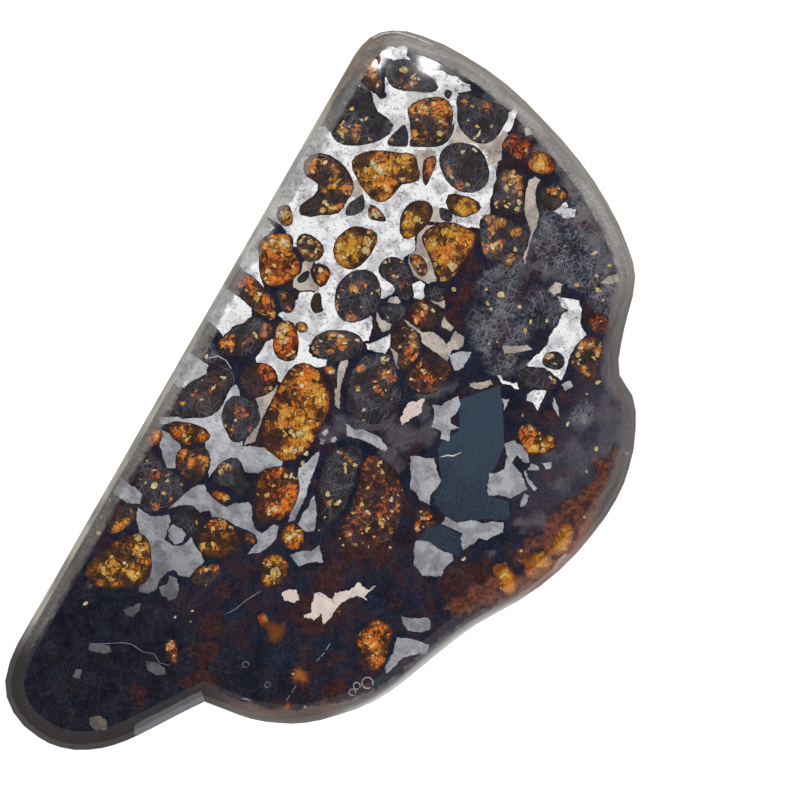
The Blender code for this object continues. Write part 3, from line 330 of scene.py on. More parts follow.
# How much painted light from behind shows through each crystal, and the marks inside it: kind, x, y, radius.
CRYSTAL_MARKS = {
    "olivine_gold_1": (0.50, [
        ("gold", -24.5, 49.3, 2.6), ("gold", -23.4, 51.0, 1.6), ("orange", -24.0, 45.2, 2.0), ("orange", -26.8, 48.6, 1.4),
        ("pale", -27.7, 47.3, 0.6), ("pale", -26.7, 47.0, 0.6), ("pale", -25.6, 46.6, 0.6), ("pale", -28.3, 45.5, 0.5),
        ("pale", -23.2, 44.6, 0.6), ("pale", -26.2, 45.2, 0.4), ("pale", -21.6, 47.3, 0.5), ("black", -20.8, 50.6, 1.2),
        ("black", -22.6, 48.0, 1.3), ("black", -29.6, 46.8, 1.2), ("black", -24.6, 43.0, 1.0)]),
    "olivine_gold_2": (0.25, [
        ("gold", -8.8, 43.0, 1.6), ("orange", -8.0, 40.0, 2.0), ("orange", -6.2, 43.2, 1.8), ("gold", -11.0, 39.8, 1.2),
        ("pale", -6.0, 38.3, 0.9), ("pale", -9.0, 36.8, 0.5), ("pale", -6.4, 35.5, 0.5), ("pale", -10.8, 40.2, 0.4),
        ("pale", -11.8, 39.9, 0.3), ("pale", -7.0, 40.4, 0.4), ("black", -9.6, 41.4, 1.0), ("black", -6.6, 36.8, 0.8)]),
    "olivine_gold_3": (0.62, [
        ("gold", -23.6, 32.0, 2.4), ("gold", -24.4, 30.2, 1.3), ("pale", -21.6, 34.6, 0.7), ("pale", -21.1, 33.0, 0.6),
        ("pale", -25.7, 31.4, 0.6), ("pale", -24.7, 33.8, 0.4), ("pale", -22.6, 32.6, 0.4), ("black", -23.6, 35.4, 1.4),
        ("black", -20.6, 31.6, 0.9), ("black", -21.6, 29.8, 0.9)]),
    "olivine_gold_4": (0.12, [("gold", -8.9, 48.8, 1.7), ("gold", -9.9, 48.0, 1.0), ("pale", -9.4, 47.6, 0.4), ("pale", -8.0, 49.6, 0.3)]),
    "olivine_gold_5": (0.12, [
        ("gold", -16.8, 41.0, 1.0), ("gold", -17.6, 42.4, 0.6), ("gold", -16.0, 39.4, 0.9), ("pale", -15.9, 42.4, 0.7),
        ("pale", -17.2, 40.9, 0.4), ("pale", -14.9, 42.3, 0.4)]),
    "olivine_gold_6": (0.16, [
        ("pale", -31.0, -31.9, 0.8), ("gold", -32.3, -39.3, 1.6), ("gold", -33.4, -39.6, 0.9), ("pale", -33.5, -39.9, 0.4),
        ("gold", -28.4, -38.2, 1.1), ("pale", -28.2, -38.4, 0.5), ("gold", -29.6, -33.6, 1.4), ("pale", -29.6, -33.8, 0.5),
        ("pale", -30.3, -35.0, 0.4), ("gold", -28.6, -32.8, 0.9), ("orange", -28.2, -37.0, 0.9), ("pale", -30.3, -37.2, 0.4),
        ("pale", -33.4, -37.2, 0.4), ("orange", -30.2, -40.8, 0.9), ("orange", -33.0, -42.4, 0.8), ("gold", -31.2, -38.4, 0.8),
        ("pale", -31.1, -40.8, 0.4), ("orange", -27.5, -35.0, 0.7), ("orange", -34.0, -34.8, 0.8)]),
    "olivine_gold_7": (0.22, [
        ("gold", -7.3, -22.9, 1.1), ("pale", -6.4, -25.2, 1.0), ("gold", -7.0, -27.0, 0.8), ("gold", -8.6, -24.7, 0.8),
        ("pale", -9.1, -24.7, 0.3), ("pale", -7.2, -26.6, 0.4), ("pale", -8.0, -24.6, 0.4), ("orange", -5.6, -22.8, 0.7)]),
    "olivine_amber_1": (0.60, [
        ("orange", -33.4, 23.0, 2.2), ("orange", -32.0, 20.2, 1.6), ("orange", -30.6, 24.2, 1.0), ("gold", -33.8, 21.4, 1.3),
        ("pale", -34.2, 21.0, 0.6), ("pale", -33.8, 22.6, 0.5), ("gold", -34.6, 26.8, 1.7), ("pale", -34.4, 26.8, 0.9),
        ("pale", -36.4, 26.0, 0.5), ("pale", -35.2, 24.8, 0.4), ("gold", -36.0, 25.0, 1.2), ("black", -31.8, 23.6, 0.9),
        ("black", -34.2, 24.8, 0.7), ("pale", -37.0, 27.0, 0.4)]),
    "olivine_amber_2": (0.52, [
        ("orange", -19.2, 9.0, 1.8), ("gold", -19.0, 9.0, 1.4), ("gold", -16.4, 5.6, 2.4), ("gold", -15.4, 1.2, 2.2),
        ("gold", -14.6, -1.6, 1.4), ("orange", -18.8, 6.4, 1.4), ("gold", -18.6, 1.2, 1.2), ("pale", -16.6, -1.9, 0.5),
        ("pale", -15.0, -1.4, 0.8), ("pale", -14.6, -4.6, 0.8), ("gold", -15.2, -5.6, 1.2), ("pale", -15.8, -5.6, 0.4),
        ("pale", -13.4, -3.6, 0.6), ("pale", -19.2, 0.6, 0.3), ("black", -20.8, 2.6, 1.4), ("black", -18.6, -4.8, 2.4),
        ("black", -20.8, -1.0, 1.2), ("orange", -21.6, 3.4, 0.6), ("gold", -14.2, 5.4, 1.0), ("pale", -14.8, 5.6, 0.4)]),
    "olivine_amber_3": (0.40, [
        ("pale", -27.0, 13.6, 0.9), ("pale", -25.8, 11.9, 0.8), ("pale", -27.2, 12.2, 0.5), ("gold", -26.6, 13.0, 1.4),
        ("orange", -25.2, 10.0, 1.4), ("orange", -26.2, 10.4, 1.0), ("red", -24.2, 12.6, 1.6), ("red", -23.4, 10.6, 1.0)]),
    "olivine_amber_4": (0.30, [("gold", -25.8, 25.4, 0.9), ("pale", -26.4, 26.0, 0.5), ("orange", -25.2, 24.4, 0.7)]),
    "olivine_amber_5": (0.62, [
        ("gold", -1.8, 62.6, 1.6), ("pale", -1.9, 61.4, 0.8), ("orange", 0.2, 62.4, 0.9), ("gold", -0.6, 63.2, 0.8),
        ("orange", -3.0, 61.0, 0.8)]),
    "olivine_amber_6": (0.21, [
        ("orange", -11.0, -11.6, 1.6), ("orange", -10.8, -13.8, 1.2), ("gold", -11.4, -10.4, 0.9), ("orange", -12.4, -15.4, 1.1),
        ("pale", -12.2, -15.4, 0.5), ("orange", -16.4, -11.0, 0.9), ("pale", -14.4, -11.8, 0.4), ("pale", -13.4, -9.2, 0.5),
        ("pale", -14.6, -13.9, 0.4), ("pale", -12.8, -16.8, 0.3), ("red", -13.6, -13.0, 1.6), ("red", -15.2, -9.6, 1.2),
        ("black", -15.4, -15.6, 1.4), ("black", -13.2, -18.0, 1.4), ("pale", -15.0, -8.6, 0.3)]),
    "olivine_amber_7": (0.62, [
        ("gold", -7.4, -17.4, 1.2), ("pale", -7.0, -17.6, 0.5), ("pale", -7.4, -18.8, 0.5), ("pale", -5.9, -17.4, 0.4),
        ("orange", -6.2, -19.0, 0.9)]),
    "olivine_amber_8": (0.14, [
        ("gold", -19.4, -22.6, 1.2), ("orange", -20.6, -23.6, 0.8), ("pale", -17.6, -22.4, 0.3), ("pale", -17.0, -22.0, 0.3),
        ("pale", -18.6, -26.4, 0.4), ("gold", -19.9, -27.8, 1.0), ("pale", -20.0, -27.8, 0.4), ("orange", -17.8, -26.6, 0.6),
        ("gold", -17.8, -24.0, 0.6), ("pale", -21.4, -24.4, 0.3)]),
    "olivine_amber_9": (0.34, [
        ("orange", 15.2, -27.4, 1.2), ("pale", 15.4, -27.6, 0.5), ("orange", 14.4, -24.2, 1.0), ("orange", 17.4, -29.8, 1.2),
        ("orange", 15.2, -24.8, 0.8), ("orange", 13.6, -28.6, 0.7), ("gold", 17.6, -30.2, 0.6), ("red", 14.0, -26.0, 1.0),
        ("pale", 16.8, -28.6, 0.3), ("pale", 14.2, -23.8, 0.3), ("black", 15.4, -29.4, 0.8), ("black", 16.4, -26.0, 0.7)]),
    "olivine_amber_10": (0.40, [
        ("orange", 20.6, 18.2, 1.5), ("gold", 24.6, 19.8, 1.1), ("gold", 22.6, 17.2, 0.8), ("pale", 24.4, 20.2, 0.4),
        ("pale", 22.6, 17.6, 0.4), ("pale", 21.2, 16.6, 0.4), ("pale", 24.4, 17.6, 0.4), ("pale", 20.4, 20.0, 0.5),
        ("black", 22.6, 18.8, 0.9), ("orange", 19.6, 19.4, 0.7), ("pale", 22.8, 19.2, 0.3), ("pale", 24.1, 18.6, 0.3)]),
    "olivine_amber_11": (0.28, [
        ("orange", -33.8, -12.0, 1.3), ("pale", -32.8, -12.0, 0.5), ("orange", -30.0, -11.2, 0.9), ("pale", -30.2, -10.0, 0.3),
        ("pale", -32.9, -9.8, 0.3), ("gold", -34.4, -12.6, 0.6), ("black", -31.4, -11.6, 0.7)]),
    "olivine_rim_amber_1": (0.58, [("gold", 36.2, 4.6, 0.9), ("black", 37.0, 2.4, 0.6)]),
    "olivine_rim_amber_2": (0.46, [("gold", 34.0, 0.2, 1.0), ("red", 33.4, -2.2, 0.8), ("black", 35.0, -1.2, 0.6)]),
    "olivine_rim_amber_3": (0.44, [("gold", 29.6, -5.2, 1.0), ("orange", 31.2, -6.4, 0.9), ("black", 28.4, -4.6, 0.6)]),
    "olivine_brown_1": (0.30, [
        ("gold", -37.8, 62.6, 1.0), ("gold", -36.8, 62.2, 0.8), ("pale", -36.9, 61.6, 0.3), ("orange", -39.0, 61.2, 0.8),
        ("gold", -35.6, 60.8, 0.7), ("red", -34.4, 59.8, 1.0)]),
    "olivine_brown_2": (0.34, [
        ("gold", -24.8, 60.0, 1.2), ("orange", -25.6, 58.8, 1.0), ("orange", -22.6, 62.0, 1.4), ("pale", -24.6, 60.6, 0.4),
        ("pale", -19.9, 57.9, 0.5), ("pale", -20.5, 62.8, 0.4), ("pale", -24.8, 58.0, 0.3), ("gold", -24.0, 55.4, 0.8),
        ("gold", -22.0, 54.8, 0.5), ("orange", -20.6, 59.8, 0.8), ("pale", -24.2, 55.2, 0.4), ("black", -22.4, 58.6, 1.2)]),
    "olivine_brown_3": (0.14, [
        ("gold", -32.2, 41.0, 1.1), ("orange", -29.6, 40.8, 1.0), ("gold", -33.2, 42.8, 0.8), ("gold", -35.6, 43.2, 0.6),
        ("orange", -29.2, 37.6, 0.8), ("pale", -31.8, 36.9, 0.5), ("pale", -31.4, 35.4, 0.6), ("pale", -33.4, 42.6, 0.3),
        ("pale", -36.4, 40.6, 0.4), ("black", -34.0, 34.4, 2.0), ("orange", -37.6, 41.4, 1.2), ("orange", -33.0, 38.8, 0.7),
        ("gold", -30.0, 36.4, 0.6), ("gold", -37.0, 42.4, 0.6)]),
    "olivine_brown_4": (0.30, [
        ("pale", -30.4, 29.4, 0.6), ("pale", -30.6, 27.4, 0.5), ("pale", -28.8, 28.6, 0.4), ("pale", -32.0, 28.6, 0.5),
        ("pale", -29.0, 29.6, 0.3), ("black", -31.2, 28.4, 0.8), ("black", -29.6, 28.2, 0.7), ("pale", -31.8, 29.6, 0.3)]),
    "olivine_brown_5": (0.50, [("gold", -11.8, 35.6, 0.9), ("pale", -11.6, 35.3, 0.4), ("pale", -10.6, 34.8, 0.3), ("red", -12.8, 36.0, 0.6)]),
    "olivine_brown_6": (0.26, [
        ("gold", -6.4, 23.8, 0.8), ("pale", -6.3, 23.7, 0.4), ("gold", -5.2, 22.6, 0.9), ("pale", -5.2, 22.6, 0.3),
        ("red", -5.2, 20.4, 1.4), ("orange", -4.9, 20.0, 0.8), ("pale", -7.1, 21.0, 0.3), ("black", -7.6, 22.6, 1.2)]),
    "olivine_brown_7": (0.36, [
        ("orange", -32.4, 16.4, 0.8), ("gold", -29.9, 14.8, 0.6), ("gold", -33.5, 16.0, 0.5), ("orange", -35.4, 16.6, 0.8),
        ("red", -37.0, 17.2, 1.5), ("pale", -36.2, 16.2, 0.3), ("red", -31.4, 15.2, 1.0)]),
    "olivine_brown_8": (0.10, [("gold", -29.9, 18.6, 0.6), ("orange", -27.8, 17.0, 0.7), ("black", -28.8, 17.6, 0.8)]),
    "olivine_brown_9": (0.24, [
        ("gold", -27.0, -13.8, 0.8), ("orange", -31.6, -14.8, 0.9), ("pale", -31.2, -14.9, 0.3), ("orange", -29.4, -15.6, 1.0),
        ("black", -28.0, -16.8, 1.2), ("orange", -28.4, -13.8, 0.7)]),
    "olivine_brown_10": (0.18, [
        ("gold", -34.0, -30.8, 0.7), ("gold", -35.0, -32.6, 0.8), ("orange", -34.6, -31.6, 0.8), ("black", -35.6, -29.4, 1.2),
        ("black", -36.8, -31.0, 1.0)]),
    "olivine_brown_11": (0.12, [
        ("orange", 3.0, 59.0, 0.8), ("gold", 4.6, 59.2, 0.7), ("pale", 3.4, 58.8, 0.3), ("orange", 2.2, 58.6, 0.5),
        ("black", 3.2, 57.2, 1.2)]),
    "olivine_brown_12": (0.30, [
        ("pale", 21.0, 37.3, 0.7), ("pale", 24.1, 39.5, 0.6), ("pale", 24.4, 37.5, 0.6), ("pale", 21.2, 35.7, 0.6),
        ("orange", 23.6, 34.2, 0.6), ("pale", 22.4, 38.4, 0.4), ("black", 23.4, 36.2, 1.2), ("orange", 24.4, 39.0, 1.0),
        ("orange", 21.4, 37.4, 1.0), ("pale", 22.2, 35.0, 0.3), ("pale", 21.0, 34.0, 0.3), ("pale", 23.3, 34.4, 0.3)]),
    "olivine_brown_13": (0.16, [
        ("gold", -17.6, -31.0, 0.6), ("orange", -16.2, -29.8, 0.8), ("orange", -18.2, -31.8, 0.6), ("pale", -17.5, -30.8, 0.3),
        ("black", -17.0, -32.8, 1.2)]),
    "olivine_red_1": (0.16, [
        ("pale", -6.7, 29.4, 0.6), ("pale", -5.2, 29.7, 0.4), ("pale", -6.5, 28.1, 0.4), ("orange", -6.6, 27.6, 1.2),
        ("red", -6.4, 26.8, 1.4), ("gold", -6.6, 29.3, 0.8)]),
    "olivine_red_2": (0.30, [
        ("pale", -1.2, 19.4, 0.5), ("gold", 0.3, 19.3, 0.6), ("orange", 0.2, 18.8, 0.9), ("orange", -1.6, 17.4, 0.7),
        ("red", -0.6, 17.6, 1.8), ("black", -0.6, 21.8, 1.6), ("pale", 0.2, 19.1, 0.3), ("orange", 1.4, 17.0, 0.7)]),
    "olivine_red_3": (0.16, [("orange", -25.2, 4.8, 1.4), ("red", -24.8, 4.0, 1.8), ("orange", -26.2, 5.6, 0.8), ("black", -27.6, 2.4, 1.6)]),
    "olivine_red_4": (0.30, [
        ("pale", 5.3, -3.5, 0.5), ("pale", 0.5, -3.7, 0.4), ("gold", 4.7, -6.6, 0.8), ("pale", 5.7, -7.9, 0.7),
        ("pale", 6.1, -8.6, 0.4), ("pale", 2.4, -7.5, 0.3), ("pale", 2.9, -7.6, 0.3), ("pale", 3.5, -11.3, 0.3),
        ("pale", 4.3, -10.6, 0.3), ("orange", 6.8, -4.4, 0.5), ("pale", 6.7, -3.9, 0.3), ("gold", 0.4, -8.8, 0.5),
        ("pale", 0.3, -8.8, 0.3), ("orange", 4.6, -5.6, 0.8), ("pale", 5.8, -10.8, 0.3), ("pale", 1.9, -12.7, 0.3),
        ("pale", 1.2, -12.9, 0.3), ("red", 5.0, -5.6, 1.2), ("pale", 5.9, -2.2, 0.3),
        ("orange", -1.4, -2.6, 0.5), ("pale", 6.0, -13.0, 0.2)]),
    "olivine_red_5": (0.12, [("red", 22.0, 42.6, 1.6), ("orange", 22.8, 41.8, 0.5)]),
    "olivine_dark_1": (0.08, [
        ("pale", -31.2, 64.6, 0.7), ("pale", -29.0, 64.1, 0.5), ("red", -29.8, 63.0, 1.6), ("orange", -28.6, 63.2, 0.5)]),
    "olivine_dark_2": (0.05, [
        ("gold", -35.6, 49.4, 1.1), ("pale", -35.4, 49.0, 0.4), ("gold", -33.0, 49.6, 0.9), ("pale", -33.0, 50.0, 0.4),
        ("pale", -36.0, 50.9, 0.4), ("pale", -34.6, 51.0, 0.3), ("orange", -33.6, 50.8, 1.0), ("pale", -35.0, 48.5, 0.3)]),
    "olivine_dark_3": (0.05, [("gold", -19.0, 65.2, 0.5), ("pale", -17.4, 64.9, 0.4), ("red", -15.4, 66.4, 1.4), ("pale", -16.6, 62.4, 0.3)]),
    "olivine_dark_4": (0.05, [
        ("gold", -15.2, 52.8, 0.8), ("pale", -14.2, 52.1, 0.4), ("orange", -12.4, 51.2, 0.9), ("gold", -11.6, 51.2, 0.5),
        ("orange", -16.2, 53.4, 0.5), ("red", -13.2, 51.8, 1.2)]),
    "olivine_dark_5": (0.22, [
        ("gold", -4.6, 57.4, 1.0), ("pale", -4.3, 57.0, 0.4), ("pale", -5.0, 58.4, 0.3), ("pale", -4.7, 55.2, 0.6),
        ("pale", -1.1, 53.1, 0.5), ("pale", -1.4, 54.2, 0.4), ("gold", -5.2, 52.0, 0.9), ("pale", -4.9, 51.9, 0.4),
        ("pale", -3.9, 54.2, 0.3), ("pale", -2.8, 53.2, 0.3), ("orange", -2.2, 55.4, 0.7), ("orange", -3.6, 52.2, 0.7),
        ("pale", -3.2, 56.1, 0.3)]),
    "olivine_dark_6": (0.24, [
        ("gold", -2.9, 49.5, 1.0), ("gold", 0.7, 49.4, 0.9), ("pale", -2.8, 47.0, 0.4), ("gold", -3.0, 47.2, 0.7),
        ("gold", -1.1, 45.2, 0.8), ("gold", 2.2, 44.8, 0.9), ("pale", 2.2, 44.9, 0.3), ("pale", -0.8, 45.4, 0.3),
        ("gold", -4.6, 48.8, 0.8), ("orange", -3.6, 48.0, 0.8), ("pale", -2.6, 49.8, 0.4), ("orange", -0.4, 46.4, 0.6),
        ("orange", -2.4, 44.0, 0.7)]),
    "olivine_dark_7": (0.07, [
        ("orange", -18.6, 27.2, 1.1), ("orange", -19.6, 26.0, 0.8), ("gold", -21.2, 24.6, 0.5), ("pale", -21.2, 23.4, 0.3),
        ("gold", -17.4, 21.2, 0.8), ("gold", -20.8, 21.8, 0.6), ("pale", -16.5, 23.9, 0.3), ("orange", -18.0, 21.6, 0.8),
        ("pale", -21.0, 27.6, 0.3), ("pale", -20.3, 21.3, 0.3)]),
    "olivine_dark_8": (0.05, [("orange", -14.9, 32.0, 0.9), ("gold", -14.6, 31.6, 0.5), ("pale", -14.4, 31.6, 0.3), ("red", -12.0, 31.0, 1.0)]),
    "olivine_dark_9": (0.04, []),
    "olivine_dark_10": (0.16, [
        ("gold", -17.6, 16.4, 1.6), ("orange", -16.6, 15.8, 1.2), ("gold", -19.6, 14.2, 0.7), ("pale", -20.6, 13.2, 0.4),
        ("pale", -20.0, 15.0, 0.4), ("pale", -15.0, 17.0, 0.3), ("orange", -17.8, 14.8, 1.0), ("gold", -19.6, 12.9, 0.5)]),
    "olivine_dark_11": (0.06, [
        ("orange", -34.6, 6.6, 1.4), ("gold", -34.4, 6.2, 0.9), ("orange", -29.6, 10.8, 0.7), ("orange", -29.4, 12.4, 0.8),
        ("red", -31.0, 8.0, 1.4)]),
    "olivine_dark_12": (0.08, [("orange", -22.9, -5.0, 0.6), ("gold", -25.8, -7.2, 0.6), ("orange", -26.2, -6.8, 0.7), ("red", -26.0, -3.4, 1.6)]),
    "olivine_dark_13": (0.10, [
        ("orange", -35.2, -4.9, 0.7), ("gold", -35.2, -4.9, 0.3), ("red", -33.0, -1.0, 1.8), ("red", -33.8, -5.6, 1.8),
        ("orange", -36.0, -7.0, 0.5)]),
    "olivine_dark_14": (0.04, [("gold", -23.5, -13.2, 0.7), ("pale", -23.9, -14.4, 0.5), ("pale", -23.4, -12.9, 0.3)]),
    "olivine_dark_15": (0.08, [
        ("pale", -33.0, -22.4, 0.6), ("pale", -30.8, -22.9, 0.4), ("gold", -30.8, -22.9, 0.6), ("orange", -31.0, -25.8, 0.8),
        ("red", -34.4, -20.4, 1.8), ("pale", -31.4, -20.6, 0.3), ("red", -35.8, -23.4, 0.9), ("orange", -29.2, -23.2, 0.5)]),
    "olivine_dark_16": (0.03, []),
    "olivine_dark_17": (0.05, [
        ("pale", -5.2, -8.4, 0.4), ("pale", -2.8, -8.6, 0.5), ("pale", -2.9, -9.2, 0.4), ("pale", -3.9, -10.3, 0.3),
        ("gold", -7.0, -0.9, 0.4), ("gold", -5.7, -0.8, 0.4), ("orange", -4.6, -1.4, 0.5), ("pale", -3.6, -12.4, 0.3),
        ("gold", -4.0, -9.8, 0.6), ("pale", -2.2, -12.9, 0.2)]),
    "olivine_dark_18": (0.05, [("gold", 16.9, 32.8, 0.8), ("pale", 17.0, 32.9, 0.6)]),
    "olivine_dark_19": (0.04, [("pale", 19.2, 29.7, 0.4), ("gold", 19.9, 29.6, 0.6), ("pale", 20.0, 29.6, 0.3)]),
    "olivine_dark_20": (0.06, [
        ("orange", -7.0, 15.6, 1.2), ("gold", -7.1, 15.5, 0.6), ("orange", -6.6, 12.6, 1.2), ("orange", -11.4, 14.2, 0.7),
        ("pale", -7.1, 15.5, 0.3), ("gold", -10.1, 10.8, 0.4), ("pale", -9.9, 10.8, 0.3), ("pale", -8.4, 17.2, 0.3),
        ("pale", -11.7, 8.3, 0.3), ("orange", -5.4, 15.6, 0.8), ("red", -6.8, 13.8, 1.8), ("pale", -3.9, 12.3, 0.3)]),
}
# The small grains' painted light from behind, and the marks inside each.
GRAIN_MARKS = {
    "top_red": (0.25, [("red", -6.6, 62.8, 2.4)]),
    "shard_brown": (0.35, [("orange", -18.9, 52.6, 0.8), ("red", -18.2, 50.6, 0.9)]),
    "yellow_spot": (0.95, []),
    "edge_yellow": (0.80, [("pale", -37.2, 31.2, 0.6), ("pale", -36.4, 31.8, 0.5)]),
    "lower_amber": (0.35, [("orange", -22.8, -18.2, 0.8), ("pale", -20.6, -17.9, 0.6), ("gold", -21.8, -18.0, 0.6)]),
    "edge_orange": (0.55, [("gold", -37.2, -14.2, 1.0), ("orange", -37.6, -15.4, 1.0)]),
    "small_orange": (0.15, [("orange", -13.2, -22.2, 0.8)]),
    "right_orange": (0.22, [("orange", 11.4, -4.8, 0.7), ("pale", 10.7, -2.8, 0.3), ("pale", 11.7, -3.6, 0.5), ("pale", 11.9, -5.7, 0.4), ("gold", 11.7, -5.6, 0.7), ("red", 12.8, -3.0, 1.2)]),
    "low_orange": (0.40, [("orange", -16.0, -46.2, 1.0), ("orange", -14.8, -47.4, 0.9), ("gold", -16.0, -45.4, 0.4), ("pale", -14.6, -47.2, 0.3)]),
    "smooth_orange": (0.02, [("orange", -4.4, -33.6, 0.7)]),
    "wedge": (0.40, [("pale", -22.8, 39.6, 0.8), ("pale", -23.4, 39.8, 0.4)]),
    "hook_dark": (0.12, [("orange", -15.8, 11.2, 0.7), ("pale", -15.8, 11.0, 0.3)]),
    "bead_brown": (0.10, []),
}

# Smooth blue blocks in the oxide, with straight broken edges.
BLUE_OXIDE = {
    "main": [
        (6.9, 18.2), (11.9, 23.9), (13.9, 21.3), (16.1, 17.9), (18.0, 14.8), (18.3, 12.4), (18.4, 9.4), (18.8, 6.8),
        (20.6, 6.0), (23.6, 6.6), (25.0, 4.9), (25.0, 3.5), (21.3, 1.7), (18.8, -0.8), (15.2, -1.2), (12.6, -0.4),
        (11.4, 1.0), (11.5, 3.9), (9.2, 6.6), (7.9, 8.6), (7.9, 10.2), (9.6, 13.0), (8.3, 15.8),
    ],
    "low": [(13.3, -4.7), (15.4, -3.0), (19.0, -2.8), (20.6, -5.1), (20.8, -6.3), (17.5, -6.8), (14.6, -6.6), (12.9, -7.2)],
}
# Where the rest of the oxide changes colour: x, y, radius.
OXIDE_ZONES = {
    "brown": [
        (26.0, -8.0, 3.4), (27.0, -12.6, 3.2), (22.5, -11.0, 2.6), (7.6, -12.6, 2.2), (4.0, -14.6, 2.0), (3.4, -28.0, 3.6),
        (2.8, -20.6, 2.6), (15.2, -19.0, 1.6), (7.0, -38.8, 2.0), (13.6, -38.6, 2.6), (7.0, -46.6, 2.4), (-8.0, -49.6, 3.0),
        (-10.4, -44.0, 2.4), (-11.6, -38.6, 2.0), (-13.0, -32.2, 1.6), (-5.4, 63.0, 2.6), (22.4, 23.8, 1.4),
        (-1.6, 35.6, 1.6), (-2.4, 32.6, 1.6), (-1.6, 30.4, 1.4), (-4.0, 40.6, 2.0), (10.0, 57.6, 1.6), (14.0, 55.6, 1.4),
        (5.0, 60.4, 1.4), (17.6, -36.4, 2.0), (27.2, 14.0, 1.2), (10.6, -33.6, 1.2), (-15.0, -57.6, 1.2),
        (-17.4, -56.0, 1.2), (22.6, 27.8, 1.2), (32.4, -1.0, 2.4), (16.0, -31.0, 1.4), (30.4, 16.0, 1.4), (8.6, -14.0, 1.4),
    ],
    "rust": [
        (31.4, -0.6, 1.8), (34.4, 4.6, 2.8), (36.6, 10.6, 2.6), (37.8, 15.6, 2.2), (38.6, 19.0, 1.4), (28.6, -6.4, 1.6),
        (32.6, 7.6, 1.6), (7.8, -46.6, 1.2), (12.4, -42.6, 1.4), (6.6, -38.4, 1.0), (24.6, -14.6, 1.2), (39.0, 2.0, 2.2),
        (37.4, -1.6, 1.8), (40.0, 6.0, 2.0), (39.6, 12.0, 1.6), (29.6, -9.6, 1.6), (33.0, -4.2, 1.4), (31.0, 2.2, 1.4),
        (34.9, 20.4, 1.7), (37.2, 18.6, 1.6), (36.2, 15.8, 1.9), (35.0, 13.0, 1.4), (36.0, 23.2, 1.2), (33.6, 10.2, 1.4),
        (27.6, -10.6, 1.8), (26.0, -13.4, 1.4), (31.4, -6.6, 1.4),
    ],
    # Glow: orange spots painted as light shining through from behind.
    "glow": [
        (37.6, 9.0, 1.1), (34.2, 2.4, 0.9), (35.0, 4.4, 0.9), (31.0, -1.4, 0.9), (28.4, -3.8, 0.7), (38.4, 6.2, 0.9),
        (6.9, -45.6, 0.8), (6.2, -39.2, 0.9), (8.7, -21.9, 0.7), (6.9, -25.6, 0.7),
    ],
    # Haze: a pale painted sheen of reflected light on the polish.
    "haze": [
        (-24.0, 69.4, 3.0), (-31.0, 69.2, 2.6), (-14.0, 69.6, 3.0), (-6.0, 68.0, 2.6), (2.0, 65.2, 2.6), (9.0, 62.0, 2.6),
        (-37.4, 57.6, 2.2), (7.0, 47.0, 1.2), (9.4, 45.8, 1.0), (11.6, 46.0, 0.9), (1.2, 41.0, 1.4), (2.4, 17.4, 1.6),
        (0.6, 15.8, 1.4), (4.6, 19.4, 1.2), (17.0, 28.0, 1.2), (14.4, 29.2, 1.4), (-33.6, -43.4, 1.2),
        (-3.4, 8.6, 2.6), (1.0, 7.4, 2.4), (4.4, 9.4, 2.2), (2.6, 13.0, 1.8), (-6.4, 6.0, 2.2), (-9.6, 3.4, 1.8), (0.6, 3.0, 1.6),
        (-11.0, 0.6, 1.4), (3.6, 2.6, 1.6), (11.4, 44.0, 1.2), (13.4, 41.0, 1.2), (5.6, 44.4, 1.2),
        (33.4, 22.8, 2.0), (31.0, 18.6, 2.0), (30.0, 13.6, 1.8), (29.0, 20.6, 2.0), (-2.0, 64.6, 2.0), (5.0, 61.4, 2.0),
        (27.6, 4.6, 1.6), (30.0, 6.4, 1.8), (25.6, -3.4, 1.2), (31.0, 29.0, 2.4), (33.6, 26.2, 2.2), (29.2, 32.2, 1.6),
        (35.0, 27.4, 1.6), (27.2, 36.4, 1.2), (27.8, 25.4, 1.8), (24.2, 50.0, 1.6), (21.6, 47.4, 1.6),
        (15.4, 57.4, 1.4), (18.6, 54.6, 1.4), (12.0, 60.2, 1.4), (26.0, 17.4, 1.6), (10.4, 58.6, 2.0), (14.2, 55.0, 2.0),
        (17.4, 52.2, 1.8), (20.4, 49.4, 1.8), (23.2, 46.4, 1.8), (25.0, 43.2, 1.6), (26.4, 39.8, 1.6), (28.2, 35.6, 1.6),
    ],
    "coarse": [
        (9.0, 52.0, 6.0), (15.0, 50.0, 4.0), (7.0, 33.0, 5.0), (3.0, 39.0, 3.4), (12.0, 40.0, 3.4), (6.0, 57.0, 3.4),
        (-36.0, 3.0, 1.4), (10.0, 28.0, 2.6), (2.6, 44.0, 2.2), (27.0, 27.0, 2.0), (20.0, 48.0, 3.0),
        (23.0, 44.6, 2.4),
    ],
}
